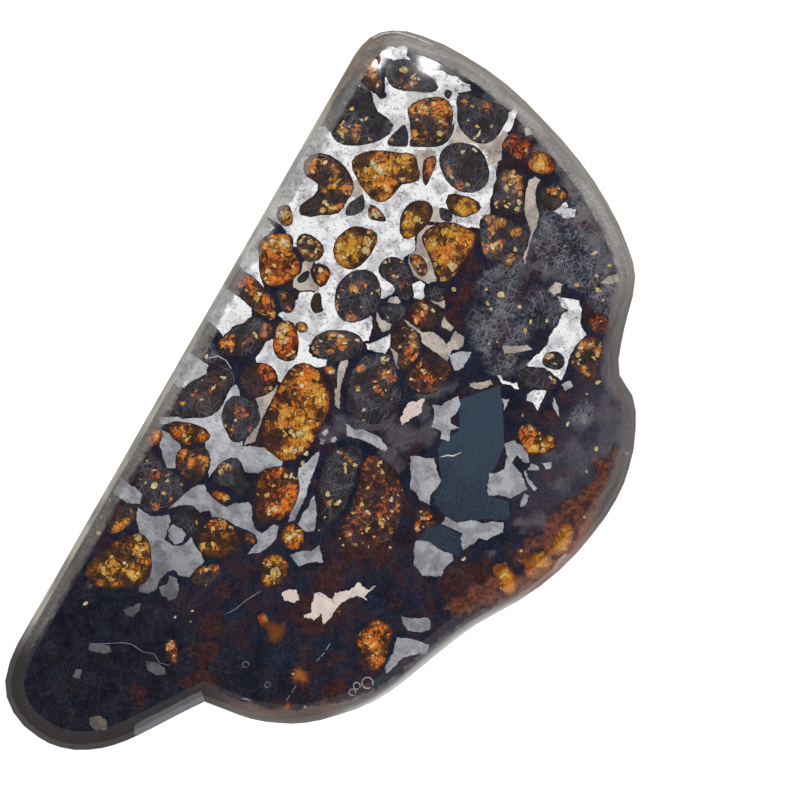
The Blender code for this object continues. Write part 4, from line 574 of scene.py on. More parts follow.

# Colours of each kind of olivine, darkest to brightest, with how much light passes and how fast it is absorbed.
# The bright colour of each kind shows where the painted light from behind is strongest.
LOOKS = {
    "gold": {
        "deep": (0.016, 0.007, 0.004), "mid": (0.215, 0.072, 0.010), "bright": (0.76, 0.33, 0.022), "through": 0.3,
        "rim_cover": 0.45, "scratched": 0.08, "border": 1.0, "broken": 1.0},
    "amber": {
        "deep": (0.018, 0.006, 0.004), "mid": (0.215, 0.058, 0.008), "bright": (0.78, 0.27, 0.014), "through": 0.3,
        "rim_cover": 0.4, "scratched": 0.08, "border": 1.0, "broken": 1.0},
    "rim_amber": {
        "deep": (0.13, 0.038, 0.003), "mid": (0.33, 0.105, 0.003), "bright": (0.62, 0.25, 0.003), "through": 0.3,
        "rim_cover": 0.12, "scratched": 0.05, "border": 0.0, "broken": 0.45},
    "brown": {
        "deep": (0.010, 0.007, 0.009), "mid": (0.14, 0.046, 0.015), "bright": (0.74, 0.30, 0.028), "through": 0.25,
        "rim_cover": 0.6, "scratched": 0.32, "border": 1.0, "broken": 1.0},
    "red": {
        "deep": (0.014, 0.0055, 0.0075), "mid": (0.110, 0.026, 0.014), "bright": (0.64, 0.19, 0.018), "through": 0.25,
        "rim_cover": 0.6, "scratched": 0.24, "border": 1.0, "broken": 1.0},
    "dark": {
        "deep": (0.009, 0.009, 0.0155), "mid": (0.060, 0.029, 0.024), "bright": (0.70, 0.27, 0.022), "through": 0.2,
        "rim_cover": 0.6, "scratched": 0.62, "border": 1.0, "broken": 1.0},
}


# Marks: gold, orange and red paint light coming through from behind, black paints where none comes, pale paints pale
# flecks.
MARK_KINDS = {
    "gold": {"glow": 0.9},
    "orange": {"glow": 0.75, "warm": 0.7},
    "red": {"glow": 0.30, "warm": 1.0},
    "pale": {"pale": 1.0},
    "black": {"glow": -0.9},
}


class SliceFinish(bpy.types.PropertyGroup):
    """Sizes and colours of the slice's own surfaces."""

    crystal_growth: bpy.props.FloatProperty(
        name="Crystal growth", description="How far a crystal's sides move out to meet its socket",
        default=0.31 * MM, unit="LENGTH")
    dark_border: bpy.props.FloatProperty(
        name="Dark border", description="Width of the dark oxide between a crystal and bright metal",
        default=0.12 * MM, unit="LENGTH")
    crystal_grid: bpy.props.FloatProperty(
        name="Crystal grid", description="Spacing of the points that carry a crystal's painted marks",
        default=0.45 * MM, unit="LENGTH")
    oxide_grid: bpy.props.FloatProperty(
        name="Oxide grid", description="Spacing of the points that carry the oxide's painted zones",
        default=1.5 * MM, unit="LENGTH")
    # Bright and dim metal are the two ends of a painted reflection: bright at the top, dim towards the lower end.
    bright_metal: bpy.props.FloatVectorProperty(
        name="Bright metal", description="Colour of the polished metal at the upper left", size=3, subtype="COLOR",
        default=(0.96, 0.96, 0.97))
    dim_metal: bpy.props.FloatVectorProperty(
        name="Dim metal", description="Colour of the metal towards the lower end", size=3, subtype="COLOR",
        default=(0.40, 0.41, 0.44))
    beige_metal: bpy.props.FloatVectorProperty(
        name="Beige metal", description="Colour of the dull seams between crystals", size=3, subtype="COLOR",
        default=(0.61, 0.54, 0.475))
    grey_metal: bpy.props.FloatVectorProperty(
        name="Grey metal", description="Colour of the islands in the oxide", size=3, subtype="COLOR",
        default=(0.50, 0.50, 0.53))
    white_inclusion: bpy.props.FloatVectorProperty(
        name="White inclusion", description="Colour of the jagged white inclusions", size=3, subtype="COLOR",
        default=(0.62, 0.51, 0.46))
    dark_oxide: bpy.props.FloatVectorProperty(
        name="Dark oxide", description="Colour of most of the oxide", size=3, subtype="COLOR",
        default=(0.0034, 0.0048, 0.0145))
    blue_oxide: bpy.props.FloatVectorProperty(
        name="Blue oxide", description="Colour of the smooth blue-grey oxide", size=3, subtype="COLOR",
        default=(0.026, 0.042, 0.066))
    rust_oxide: bpy.props.FloatVectorProperty(
        name="Rust", description="Colour of the rusty oxide", size=3, subtype="COLOR",
        default=(0.19, 0.060, 0.034))


class SliceStudio(bpy.types.PropertyGroup):
    """The camera and the light."""

    camera_height: bpy.props.FloatProperty(
        name="Camera height", description="Height of the camera above the polished face", default=0.8, unit="LENGTH")
    field_of_view: bpy.props.FloatProperty(
        name="Field", description="Width of the view at the polished face", default=0.1436, unit="LENGTH")
    camera_centre: bpy.props.FloatVectorProperty(
        name="Camera centre", description="The point of the slice that the camera looks at", size=2,
        default=(-2.36 * MM, 12.77 * MM), subtype="XYZ", unit="LENGTH")
    camera_turn: bpy.props.FloatProperty(
        name="Camera turn", description="How far the camera is turned about its line of sight",
        default=math.radians(29.8), subtype="ANGLE")
    sky_strength: bpy.props.FloatProperty(
        name="Light from all round", description="Strength of the light from the sides", default=1.22)
    overhead_strength: bpy.props.FloatProperty(
        name="Light from straight above", description="Strength of the light that the polish mirrors", default=0.14)
    lamp_strength: bpy.props.FloatProperty(
        name="Lamps", description="How bright the two small round lamps are", default=60.0)


# Working on meshes.


def only(piece):
    """Selects one object alone and makes it active."""
    bpy.ops.object.select_all(action="DESELECT")
    piece.hide_set(False)
    piece.select_set(True)
    bpy.context.view_layer.objects.active = piece
    return piece


def edit_all(piece):
    """Enters edit mode on one object with everything selected."""
    only(piece)
    bpy.ops.object.mode_set(mode="EDIT")
    bpy.ops.mesh.select_mode(type="FACE")
    bpy.ops.mesh.select_all(action="SELECT")


def leave_edit():
    bpy.ops.object.mode_set(mode="OBJECT")


def merged_copy(node, name):
    """A copy of a CAD node with its loose triangles joined up."""
    piece = bpy.data.objects.new(name, frame["nodes"][node].data.copy())
    bpy.context.scene.collection.objects.link(piece)
    piece.data.materials.clear()
    edit_all(piece)
    bpy.ops.mesh.customdata_custom_splitnormals_clear()
    bpy.ops.mesh.remove_doubles(threshold=1e-6)
    leave_edit()
    return piece


def copy_of(piece, name):
    twin = bpy.data.objects.new(name, piece.data.copy())
    bpy.context.scene.collection.objects.link(twin)
    return twin


def widen(piece, distance):
    """Moves a straight-sided piece's side faces out."""
    edit_all(piece)
    shape = bmesh.from_edit_mesh(piece.data)
    for face in shape.faces:
        face.select_set(abs(face.normal.z) < 0.3)
    bmesh.update_edit_mesh(piece.data)
    bpy.ops.transform.shrink_fatten(value=distance, use_even_offset=True)
    leave_edit()


def make_tall(piece):
    """Stretches a piece so that it reaches past both faces of the slice."""
    for vertex in piece.data.vertices:
        vertex.co.z = (ABOVE if vertex.co.z > 1.0 * MM else BELOW) * MM


def ragged(outline, step=0.45, depth=0.13):
    """The outline cut into short steps, each pushed in or out a little, as a broken edge is."""
    points = []
    for (x0, y0), (x1, y1) in zip(outline, outline[1:] + outline[:1]):
        steps = max(1, round(math.hypot(x1 - x0, y1 - y0) / step))
        for i in range(steps):
            x, y = x0 + (x1 - x0) * i / steps, y0 + (y1 - y0) * i / steps
            push = noise.noise_vector(Vector((x * 1.9, y * 1.9, 3.0))) * depth
            points.append((x + push.x, y + push.y))
    return points


def rounded(outline, steps=4):
    """A smooth closed line through the outline's points."""
    count, points = len(outline), []
    for i in range(count):
        p0, p1, p2, p3 = (Vector(outline[(i + k) % count]) for k in (-1, 0, 1, 2))
        for j in range(steps):
            t = j / steps
            points.append(tuple(0.5 * (
                2 * p1 + (p2 - p0) * t + (2 * p0 - 5 * p1 + 4 * p2 - p3) * t * t
                + (3 * p1 - p0 - 3 * p2 + p3) * t ** 3)))
    return points


def ribbon(points, width):
    """The outline of a thin line that narrows to its ends."""
    left, right = [], []
    for i, (x, y) in enumerate(points):
        (xa, ya), (xb, yb) = points[max(0, i - 1)], points[min(len(points) - 1, i + 1)]
        length = math.hypot(xb - xa, yb - ya)
        half = width / 2 * (0.45 if i in (0, len(points) - 1) else 1.0)
        dx, dy = -(yb - ya) / length * half, (xb - xa) / length * half
        left.append((x + dx, y + dy))
        right.append((x - dx, y - dy))
    return left + right[::-1]


def speck_outline(x, y, length, width, turn):
    """A small uneven oval."""
    points = []
    for i in range(7):
        angle = i / 7 * math.tau
        reach = 0.92 + 0.30 * noise.noise(Vector((x + math.cos(angle), y + math.sin(angle), 7.0)))
        u, v = math.cos(angle) * length / 2 * reach, math.sin(angle) * width / 2 * reach
        c, s = math.cos(math.radians(turn)), math.sin(math.radians(turn))
        points.append((x + u * c - v * s, y + u * s + v * c))
    return points


def add_prisms(name, outlines):
    """One object with a tall prism on each outline."""
    bpy.ops.object.select_all(action="DESELECT")
    bpy.ops.mesh.primitive_circle_add(vertices=len(outlines[0]), radius=MM, fill_type="NGON")
    piece = bpy.context.object
    piece.name = name
    bpy.ops.object.mode_set(mode="EDIT")
    bpy.ops.mesh.select_mode(type="VERT")
    for i, outline in enumerate(outlines):
        if i:
            bpy.ops.mesh.select_all(action="DESELECT")
            bpy.ops.mesh.primitive_circle_add(vertices=len(outline), radius=MM, fill_type="NGON")
        shape = bmesh.from_edit_mesh(piece.data)
        fresh = next(face for face in shape.faces if face.select)
        for vertex, (x, y) in zip(fresh.verts, outline):
            vertex.co = (x * MM, y * MM, BELOW * MM)
        bmesh.update_edit_mesh(piece.data)
        bpy.ops.mesh.extrude_region_move(TRANSFORM_OT_translate={"value": (0, 0, (ABOVE - BELOW) * MM)})
    bpy.ops.mesh.select_all(action="SELECT")
    bpy.ops.mesh.normals_make_consistent(inside=False)
    leave_edit()
    return piece


def cut(piece, cutters, operation="DIFFERENCE"):
    """Boolean of a piece with one object or with several."""
    only(piece)
    boolean = piece.modifiers.new("Cut", "BOOLEAN")
    boolean.operation = operation
    boolean.solver = "EXACT"
    group = None
    if isinstance(cutters, list):
        group = bpy.data.collections.new("Cutters")
        for cutter in cutters:
            group.objects.link(cutter)
        boolean.operand_type = "COLLECTION"
        boolean.collection = group
    else:
        boolean.object = cutters
    bpy.ops.object.modifier_apply(modifier=boolean.name)
    if group:
        bpy.data.collections.remove(group)


def top_area(piece):
    """The area of a piece's faces that look up, in square millimetres."""
    return sum(face.area * face.normal.z for face in piece.data.polygons if face.normal.z > 0.3) / MM / MM


def discard(pieces):
    for piece in pieces:
        bpy.data.objects.remove(piece)


def cut_grid(piece, step):
    """Cuts a piece's top along a square grid, so that its points can carry what is painted on it."""
    edit_all(piece)
    shape = bmesh.from_edit_mesh(piece.data)
    tops = [face for face in shape.faces if face.normal.z > 0.5]
    edges = dict.fromkeys(edge for face in tops for edge in face.edges)
    corners = dict.fromkeys(vertex for face in tops for vertex in face.verts)
    pieces = [*tops, *edges, *corners]
    for axis, normal in enumerate(((1, 0, 0), (0, 1, 0))):
        places = [vertex.co[axis] for vertex in shape.verts]
        for i in range(math.ceil(min(places) / step), math.ceil(max(places) / step)):
            pieces = bmesh.ops.bisect_plane(
                shape, geom=pieces, dist=0.03 * MM, plane_co=[c * i * step for c in normal], plane_no=normal)["geom"]
    bmesh.update_edit_mesh(piece.data)
    leave_edit()


def smooth_by_angle(piece):
    only(piece)
    bpy.ops.object.shade_smooth_by_angle(angle=math.radians(8))


# Painting marks on a piece's points.


def fall_off(distance, radius):
    """1 at a mark's middle, 0.5 at its radius, 0 well outside it."""
    t = min(1.0, max(0.0, (1.6 * radius - distance) / (1.2 * radius)))
    return t * t * (3 - 2 * t)


def paint(piece, layers, wander=0.35, rate=1.1):
    """Writes one value a point for each named layer: its floor, and marks of (x, y, radius, strength) on it."""
    points = []
    for vertex in piece.data.vertices:
        place = Vector((vertex.co.x / MM, vertex.co.y / MM, 0.0))
        shift = noise.noise_vector(place * rate) * wander
        points.append((place.x + shift.x, place.y + shift.y))
    for name, (floor, marks) in layers.items():
        values = []
        for x, y in points:
            raised, lowered = 0.0, 0.0
            for mx, my, radius, strength in marks:
                if abs(x - mx) < 1.6 * radius and abs(y - my) < 1.6 * radius:
                    amount = strength * fall_off(math.hypot(x - mx, y - my), radius)
                    raised, lowered = max(raised, amount), min(lowered, amount)
            values.append(floor + raised * (1 - floor) + lowered * floor)
        layer = piece.data.attributes.new(name, "FLOAT", "POINT")
        layer.data.foreach_set("value", values)


def paint_edge_distance(piece):
    """Writes how far inside the outline each point lies, 0 to 1 over a millimetre."""
    rim = set()
    mesh = piece.data
    for polygon in mesh.polygons:
        if abs(polygon.normal.z) < 0.3:
            for a, b in polygon.edge_keys:
                va, vb = mesh.vertices[a].co, mesh.vertices[b].co
                for i in range(5):
                    rim.add(tuple(round(c, 6) for c in va.lerp(vb, i / 4).xy))
    tree = kdtree.KDTree(len(rim))
    for i, (x, y) in enumerate(rim):
        tree.insert((x, y, 0.0), i)
    tree.balance()
    layer = mesh.attributes.new("inside", "FLOAT", "POINT")
    for i, vertex in enumerate(mesh.vertices):
        layer.data[i].value = min(1.0, tree.find((vertex.co.x, vertex.co.y, 0.0))[2] / MM)


def layers_of(floor, marks):
    layers = {"glow": (floor, []), "warm": (0.0, []), "pale": (0.0, [])}
    for kind, x, y, radius in marks:
        for name, strength in MARK_KINDS[kind].items():
            layers[name][1].append((x, y, radius, strength))
    return layers


# Building materials.


def add_node(tree, kind, inputs=None, **settings):
    """Adds a node, with its settings and its inputs: a socket is linked, a value is set."""
    node = tree.nodes.new(kind)
    for name, value in settings.items():
        setattr(node, name, value)
    for name, value in (inputs or {}).items():
        socket = node.inputs[name]
        if isinstance(value, bpy.types.NodeSocket):
            tree.links.new(value, socket)
        else:
            socket.default_value = value
    return node


def calculate(tree, operation, a, b=0.0, clamp=False):
    node = add_node(tree, "ShaderNodeMath", {0: a, 1: b}, operation=operation, use_clamp=clamp)
    return node.outputs[0]


def blend(tree, factor, a, b, mode="MIX"):
    """Mixes two colours."""
    a, b = (value if isinstance(value, bpy.types.NodeSocket) else (*value[:3], 1.0) for value in (a, b))
    node = add_node(tree, "ShaderNodeMix", {0: factor, 6: a, 7: b}, data_type="RGBA", blend_type=mode)
    return node.outputs[2]


def window(tree, value, low, high, start=0.0, end=1.0):
    """start below low, end above high, and a smooth step between."""
    node = add_node(
        tree, "ShaderNodeMapRange", {"Value": value, "From Min": low, "From Max": high, "To Min": start, "To Max": end},
        interpolation_type="SMOOTHSTEP")
    return node.outputs["Result"]


def place_in_mm(tree, scale=(1, 1, 1), turn=0.0):
    """The place on the object, in millimetres, turned and stretched."""
    where = add_node(tree, "ShaderNodeTexCoord").outputs["Object"]
    size = [c / MM for c in scale]
    node = add_node(tree, "ShaderNodeMapping", {"Vector": where, "Rotation": (0, 0, turn)})
    node = add_node(tree, "ShaderNodeVectorMath", {0: node.outputs[0], 1: size}, operation="MULTIPLY")
    return node.outputs[0]


def painted(tree, name):
    return add_node(tree, "ShaderNodeAttribute", attribute_name=name).outputs["Fac"]


def cloud(tree, where, scale, detail=4.0, roughness=0.55, warp=0.0):
    node = add_node(
        tree, "ShaderNodeTexNoise",
        {"Vector": where, "Scale": scale, "Detail": detail, "Roughness": roughness, "Distortion": warp})
    return node


def new_group(name, inputs, outputs):
    group = bpy.data.node_groups.new(name, "ShaderNodeTree")
    for label, kind, value in inputs:
        socket = group.interface.new_socket(label, in_out="INPUT", socket_type=kind)
        if value is not None:
            socket.default_value = value
    for label, kind in outputs:
        group.interface.new_socket(label, in_out="OUTPUT", socket_type=kind)
    return group, group.nodes.new("NodeGroupInput").outputs, group.nodes.new("NodeGroupOutput").inputs


def group_node(tree, name, inputs):
    """Places a node group in a material, with its own values."""
    node = tree.nodes.new("ShaderNodeGroup")
    node.node_tree = bpy.data.node_groups[name]
    for label, value in inputs.items():
        if isinstance(value, bpy.types.NodeSocket):
            tree.links.new(value, node.inputs[label])
        else:
            node.inputs[label].default_value = value
    return node.outputs


FLOAT, COLOR = "NodeSocketFloat", "NodeSocketColor"


def make_scratch_group():
    """Scratches as a mask: a few long ones, and short ones in every direction, thick in some patches."""
    tree, given, out = new_group("Scratches", [("Long", FLOAT, 0.4), ("Short", FLOAT, 0.4)], [("Mask", FLOAT)])
    long_ones, short_ones = None, None
    for turn, stretch in ((0.5, 0.035), (-0.35, 0.03), (1.3, 0.045)):
        where = place_in_mm(tree, (1.0, stretch, 1.0), turn)
        lines = window(tree, cloud(tree, where, 3.2, 2.0).outputs["Fac"], 0.665, 0.72)
        long_ones = lines if long_ones is None else calculate(tree, "MAXIMUM", long_ones, lines)
    for turn in (0.15, 0.8, 1.5, 2.3, 2.8):
        where = place_in_mm(tree, (1.0, 0.024, 1.0), turn)
        lines = window(tree, cloud(tree, where, 9.0, 0.0).outputs["Fac"], 0.62, 0.74)
        short_ones = lines if short_ones is None else calculate(tree, "MAXIMUM", short_ones, lines)
    patches = window(tree, cloud(tree, place_in_mm(tree), 0.28, 3.0).outputs["Fac"], 0.36, 0.62, 0.15, 1.0)
    short_ones = calculate(tree, "MULTIPLY", calculate(tree, "MULTIPLY", short_ones, patches), given["Short"])
    long_ones = calculate(tree, "MULTIPLY", long_ones, given["Long"])
    tree.links.new(calculate(tree, "MAXIMUM", long_ones, short_ones), out["Mask"])


def make_rim_group():
    """The ground rim: a brushed haze over its facet and a dull strip outside, each with its own tint on every side; the
    haze is partly painted sheen, lightest along the top.
    """
    tree, given, out = new_group(
        "Rim Haze", [("Color", COLOR, None), ("Cover", FLOAT, 0.6)], [("Color", COLOR), ("Mask", FLOAT)])
    split = add_node(tree, "ShaderNodeSeparateXYZ", {0: place_in_mm(tree)}).outputs
    facet = window(tree, split["Z"], TOP - 0.01, TOP - 0.05)
    strip = window(tree, split["Z"], 2.95, 2.82)
    top = window(tree, split["Y"], 42.0, 58.0)
    upper = window(tree, split["Y"], 26.0, 50.0)
    low = window(tree, split["Y"], 20.0, 8.0)
    thin = calculate(tree, "MULTIPLY", window(tree, split["X"], 13.0, 22.0), window(tree, split["Y"], 14.0, 4.0))
    corner = window(tree, split["X"], 30.0, 37.0)
    foot = calculate(tree, "MULTIPLY", window(tree, split["X"], 2.0, -8.0), window(tree, split["Y"], -14.0, -36.0))
    sawn = calculate(tree, "MULTIPLY", window(tree, split["X"], -35.0, -37.2), window(tree, split["Y"], -62.0, -54.0))
    sawn_low = window(tree, split["Y"], -12.0, -28.0)
    streaks = cloud(tree, place_in_mm(tree, (1.0, 0.05, 1.0), 0.3), 6.0, 2.0, 0.6).outputs["Fac"]
    leaning = cloud(tree, place_in_mm(tree, (1.0, 0.05, 1.0), 1.1), 6.0, 2.0, 0.6).outputs["Fac"]
    across = cloud(tree, place_in_mm(tree, (0.14, 1.0, 1.0), 0.0), 2.6, 4.0).outputs["Fac"]
    lines = cloud(tree, place_in_mm(tree, (0.05, 0.05, 1.5)), 2.0, 3.0).outputs["Fac"]
    grain = calculate(tree, "MAXIMUM", streaks, leaning)
    grain = add_node(tree, "ShaderNodeMix", {0: sawn, 2: grain, 3: across}, data_type="FLOAT").outputs[0]
    soft = cloud(tree, place_in_mm(tree), 0.5, 5.0, 0.65).outputs["Fac"]
    patches = cloud(tree, place_in_mm(tree), 0.13, 3.0).outputs["Fac"]
    # The haze and the strip are lightest along the top: partly the ground finish's own grey, partly painted sheen.
    haze = blend(tree, top, (0.092, 0.074, 0.074), (0.235, 0.224, 0.215))
    haze = blend(tree, low, haze, (0.095, 0.062, 0.055))
    haze = blend(tree, thin, haze, blend(tree, corner, (0.140, 0.128, 0.132), (0.250, 0.076, 0.046)))
    haze = blend(tree, foot, haze, (0.012, 0.008, 0.006))
    haze = blend(tree, sawn, haze, blend(tree, sawn_low, (0.150, 0.138, 0.130), (0.090, 0.080, 0.078)))
    haze = blend(tree, 1.0, haze, blend(tree, window(tree, grain, 0.40, 0.70), (0.84, 0.84, 0.84), (1.30, 1.30, 1.30)), "MULTIPLY")
    edge = blend(tree, top, (0.074, 0.064, 0.060), (0.175, 0.162, 0.140))
    outer = window(tree, split["Z"], 2.6, 1.8)
    bright_edge = blend(tree, outer, (0.190, 0.183, 0.183), (0.46, 0.45, 0.45))
    edge = blend(tree, thin, edge, blend(tree, corner, bright_edge, (0.190, 0.115, 0.105)))
    edge = blend(tree, foot, edge, (0.006, 0.004, 0.003))
    worn = blend(tree, window(tree, patches, 0.40, 0.58), (0.175, 0.162, 0.145), (0.280, 0.262, 0.230))
    edge = blend(tree, sawn, edge, blend(tree, window(tree, split["Y"], 48.0, 60.0), worn, (0.135, 0.100, 0.070)))
    haze = blend(tree, strip, haze, edge)
    drawn = blend(tree, window(tree, lines, 0.36, 0.64), (0.80, 0.80, 0.80), (1.22, 1.22, 1.22))
    haze = blend(tree, 1.0, haze, drawn, "MULTIPLY")
    deep = calculate(tree, "MULTIPLY_ADD", calculate(tree, "SUBTRACT", soft, 0.5), 1.5)
    tree.links.new(window(tree, split["Z"], TOP, 2.9), deep.node.inputs[2])
    for mask, share in ((upper, 0.26), (thin, -0.55), (sawn, 0.15)):
        deep = calculate(tree, "ADD", deep, calculate(tree, "MULTIPLY", mask, share))
    cover = window(tree, deep, 0.02, 0.58)
    cover = calculate(tree, "MULTIPLY", cover, window(tree, thin, 0.0, 1.0, 1.35, 0.85))
    cover = calculate(tree, "MULTIPLY", calculate(tree, "MULTIPLY", cover, facet), given["Cover"], clamp=True)
    marked = window(tree, given["Cover"], 0.0, 0.03, 0.0, 0.94)
    cover = calculate(tree, "MAXIMUM", cover, calculate(tree, "MULTIPLY", strip, marked))
    tree.links.new(blend(tree, cover, given["Color"], haze), out["Color"])
    tree.links.new(facet, out["Mask"])


def make_crystal_group():
    """A fractured crystal painted as if lit from behind: blocks of angular shards, each with its own painted shading,
    dark cracks, painted pale glints and a dark border.
    """
    tree, given, out = new_group(
        "Fractured Crystal",
        [("Deep", COLOR, None), ("Mid", COLOR, None), ("Bright", COLOR, None), ("Grain", FLOAT, 1.5), ("Border", FLOAT, 1.0),
         ("Broken", FLOAT, 1.0)],
        [("Color", COLOR), ("Height", FLOAT)])
    where = place_in_mm(tree)
    bent = cloud_bend(tree, where, 0.8, 0.55)
    blocks = add_node(tree, "ShaderNodeTexVoronoi", {"Vector": bent, "Scale": 0.40})
    block_tint = add_node(tree, "ShaderNodeSeparateColor", {0: blocks.outputs["Color"]}).outputs
    turn = calculate(tree, "MULTIPLY", block_tint["Red"], math.pi)
    turned = add_node(tree, "ShaderNodeVectorRotate", {"Vector": bent, "Angle": turn}, rotation_type="Z_AXIS").outputs[0]
    flat = add_node(tree, "ShaderNodeVectorMath", {0: turned, 1: (1.0, 0.62, 0.25)}, operation="MULTIPLY").outputs[0]
    shards = add_node(tree, "ShaderNodeTexVoronoi", {"Vector": flat, "Scale": given["Grain"]})
    tint = add_node(tree, "ShaderNodeSeparateColor", {0: shards.outputs["Color"]}).outputs
    edges = add_node(tree, "ShaderNodeTexVoronoi", {"Vector": flat, "Scale": given["Grain"]}, feature="DISTANCE_TO_EDGE")
    edges = edges.outputs["Distance"]
    lean = add_node(tree, "ShaderNodeVectorMath", {0: flat, 1: shards.outputs["Position"]}, operation="SUBTRACT").outputs[0]
    lean = add_node(tree, "ShaderNodeVectorMath", {0: lean, 1: (0.55, 0.45, 0.0)}, operation="DOT_PRODUCT").outputs["Value"]
    fine = cloud(tree, flat, 2.6, 5.0, 0.6).outputs["Fac"]
    broad = cloud(tree, where, 0.38, 3.0).outputs["Fac"]
    glow, warm, pale, inside = (painted(tree, name) for name in ("glow", "warm", "pale", "inside"))
    # Painted shading: lean lights each shard on one side and shades the other; the rest varies it from shard to shard.
    uneven = lean
    for source, share in ((tint["Red"], 0.95), (block_tint["Green"], 0.55), (fine, 0.8), (broad, 1.1)):
        part = calculate(tree, "MULTIPLY", calculate(tree, "SUBTRACT", source, 0.5), share)
        uneven = calculate(tree, "ADD", uneven, part)
    uneven = calculate(tree, "MULTIPLY", uneven, window(tree, glow, 0.0, 0.45, 0.35, 1.0))
    uneven = calculate(tree, "MULTIPLY", uneven, window(tree, given["Broken"], 0.0, 1.0, 0.3, 1.0))
    # Painted light from behind: the painted glow with this shading picks the colour from deep through bright to hot
    # orange.
    light = calculate(tree, "ADD", uneven, glow)
    tone = window(tree, cloud(tree, where, 0.6, 3.0).outputs["Fac"], 0.38, 0.62)
    deep = blend(tree, tone, given["Deep"], blend(tree, 0.25, given["Deep"], given["Mid"]))
    color = blend(tree, window(tree, light, 0.05, 0.48), deep, given["Mid"])
    color = blend(tree, window(tree, light, 0.44, 0.92), color, given["Bright"])
    color = blend(tree, window(tree, light, 1.06, 1.42, 0.0, 0.85), color, (0.95, 0.58, 0.10))
    reddened = blend(tree, 1.0, color, (1.15, 0.52, 0.42), "MULTIPLY")
    color = blend(tree, calculate(tree, "MULTIPLY", warm, 0.85), color, reddened)
    # Painted glints: pale flecks, partly pale grains and partly painted light through cracks, and a few random shards.
    spot = calculate(tree, "ADD", pale, calculate(tree, "MULTIPLY", calculate(tree, "SUBTRACT", fine, 0.5), 0.9))
    spot = window(tree, spot, 0.50, 0.60)
    pick = calculate(tree, "GREATER_THAN", tint["Green"], window(tree, glow, 0.05, 0.7, 0.975, 0.90))
    glint = calculate(tree, "MAXIMUM", spot, calculate(tree, "MULTIPLY", pick, window(tree, edges, 0.05, 0.13)))
    pale_tint = blend(tree, window(tree, tint["Blue"], 0.2, 0.8), (0.86, 0.54, 0.15), (0.92, 0.80, 0.46))
    glint = calculate(tree, "MULTIPLY", glint, window(tree, given["Broken"], 0.0, 1.0, 0.0, 0.92))
    color = blend(tree, glint, color, pale_tint)
    crack = calculate(tree, "MULTIPLY", window(tree, edges, 0.01, 0.11, 0.9, 0.0), given["Broken"])
    crack = calculate(tree, "MULTIPLY", crack, window(tree, cloud(tree, where, 0.7, 2.0).outputs["Fac"], 0.42, 0.60, 0.12, 1.0))
    color = blend(tree, crack, color, blend(tree, 0.22, given["Deep"], given["Mid"]))
    fissures = add_node(tree, "ShaderNodeTexVoronoi", {"Vector": bent, "Scale": 0.75}, feature="DISTANCE_TO_EDGE")
    fissures = window(tree, fissures.outputs["Distance"], 0.006, 0.045, 0.8, 0.0)
    fissures = calculate(tree, "MULTIPLY", fissures, given["Broken"])
    color = blend(tree, fissures, color, given["Deep"])
    margin = blend(tree, 1.0, color, (0.55, 0.30, 0.26), "MULTIPLY")
    reach = window(tree, inside, 0.10, 0.95, 0.75, 0.0)
    color = blend(tree, reach, color, margin)
    border = calculate(tree, "ADD", inside, calculate(tree, "MULTIPLY", calculate(tree, "SUBTRACT", fine, 0.5), 0.5))
    border = calculate(tree, "MULTIPLY", window(tree, border, 0.05, 0.30, 0.92, 0.0), given["Border"])
    color = blend(tree, border, color, (0.007, 0.005, 0.006))
    tree.links.new(color, out["Color"])
    tree.links.new(calculate(tree, "SUBTRACT", 1.0, crack), out["Height"])


def new_material(name):
    material = bpy.data.materials.new(name)
    material.use_nodes = True
    tree = material.node_tree
    tree.nodes.clear()
    return material, tree


def finish_material(tree, color, roughness, height=None, bump=0.1, volume=None, **plain):
    """Ends a material in a Principled shader under the slice's clear polish."""
    shader = add_node(tree, "ShaderNodeBsdfPrincipled", {"Base Color": color, "Roughness": roughness})
    shader.inputs["Coat Weight"].default_value = 1.0
    shader.inputs["Coat Roughness"].default_value = 0.03
    for name, value in plain.items():
        shader.inputs[name].default_value = value
    if height is not None:
        relief = add_node(tree, "ShaderNodeBump", {"Strength": bump, "Distance": 0.05 * MM, "Height": height})
        tree.links.new(relief.outputs[0], shader.inputs["Normal"])
    end = add_node(tree, "ShaderNodeOutputMaterial", {"Surface": shader.outputs[0]})
    if volume:
        tree.links.new(volume.outputs[0], end.inputs["Volume"])


def make_crystal_material(look):
    colours = LOOKS[look]
    material, tree = new_material(f"olivine {look.replace('_', ' ')}")
    made = group_node(tree, "Fractured Crystal", {
        "Deep": (*colours["deep"], 1), "Mid": (*colours["mid"], 1), "Bright": (*colours["bright"], 1),
        "Border": colours["border"], "Broken": colours["broken"]})
    rim = group_node(tree, "Rim Haze", {"Color": made["Color"], "Cover": colours["rim_cover"]})
    scratches = group_node(tree, "Scratches", {"Long": 0.10, "Short": colours["scratched"]})["Mask"]
    color = blend(tree, scratches, rim["Color"], (0.16, 0.16, 0.19))
    absorb = add_node(tree, "ShaderNodeVolumeAbsorption", {"Color": (0.93, 0.62, 0.25, 1.0), "Density": 260.0})
    plain = {"IOR": 1.66, "Specular IOR Level": 0.05, "Transmission Weight": colours["through"]}
    finish_material(tree, color, 0.24, made["Height"], 0.05, absorb, **plain)
    return material


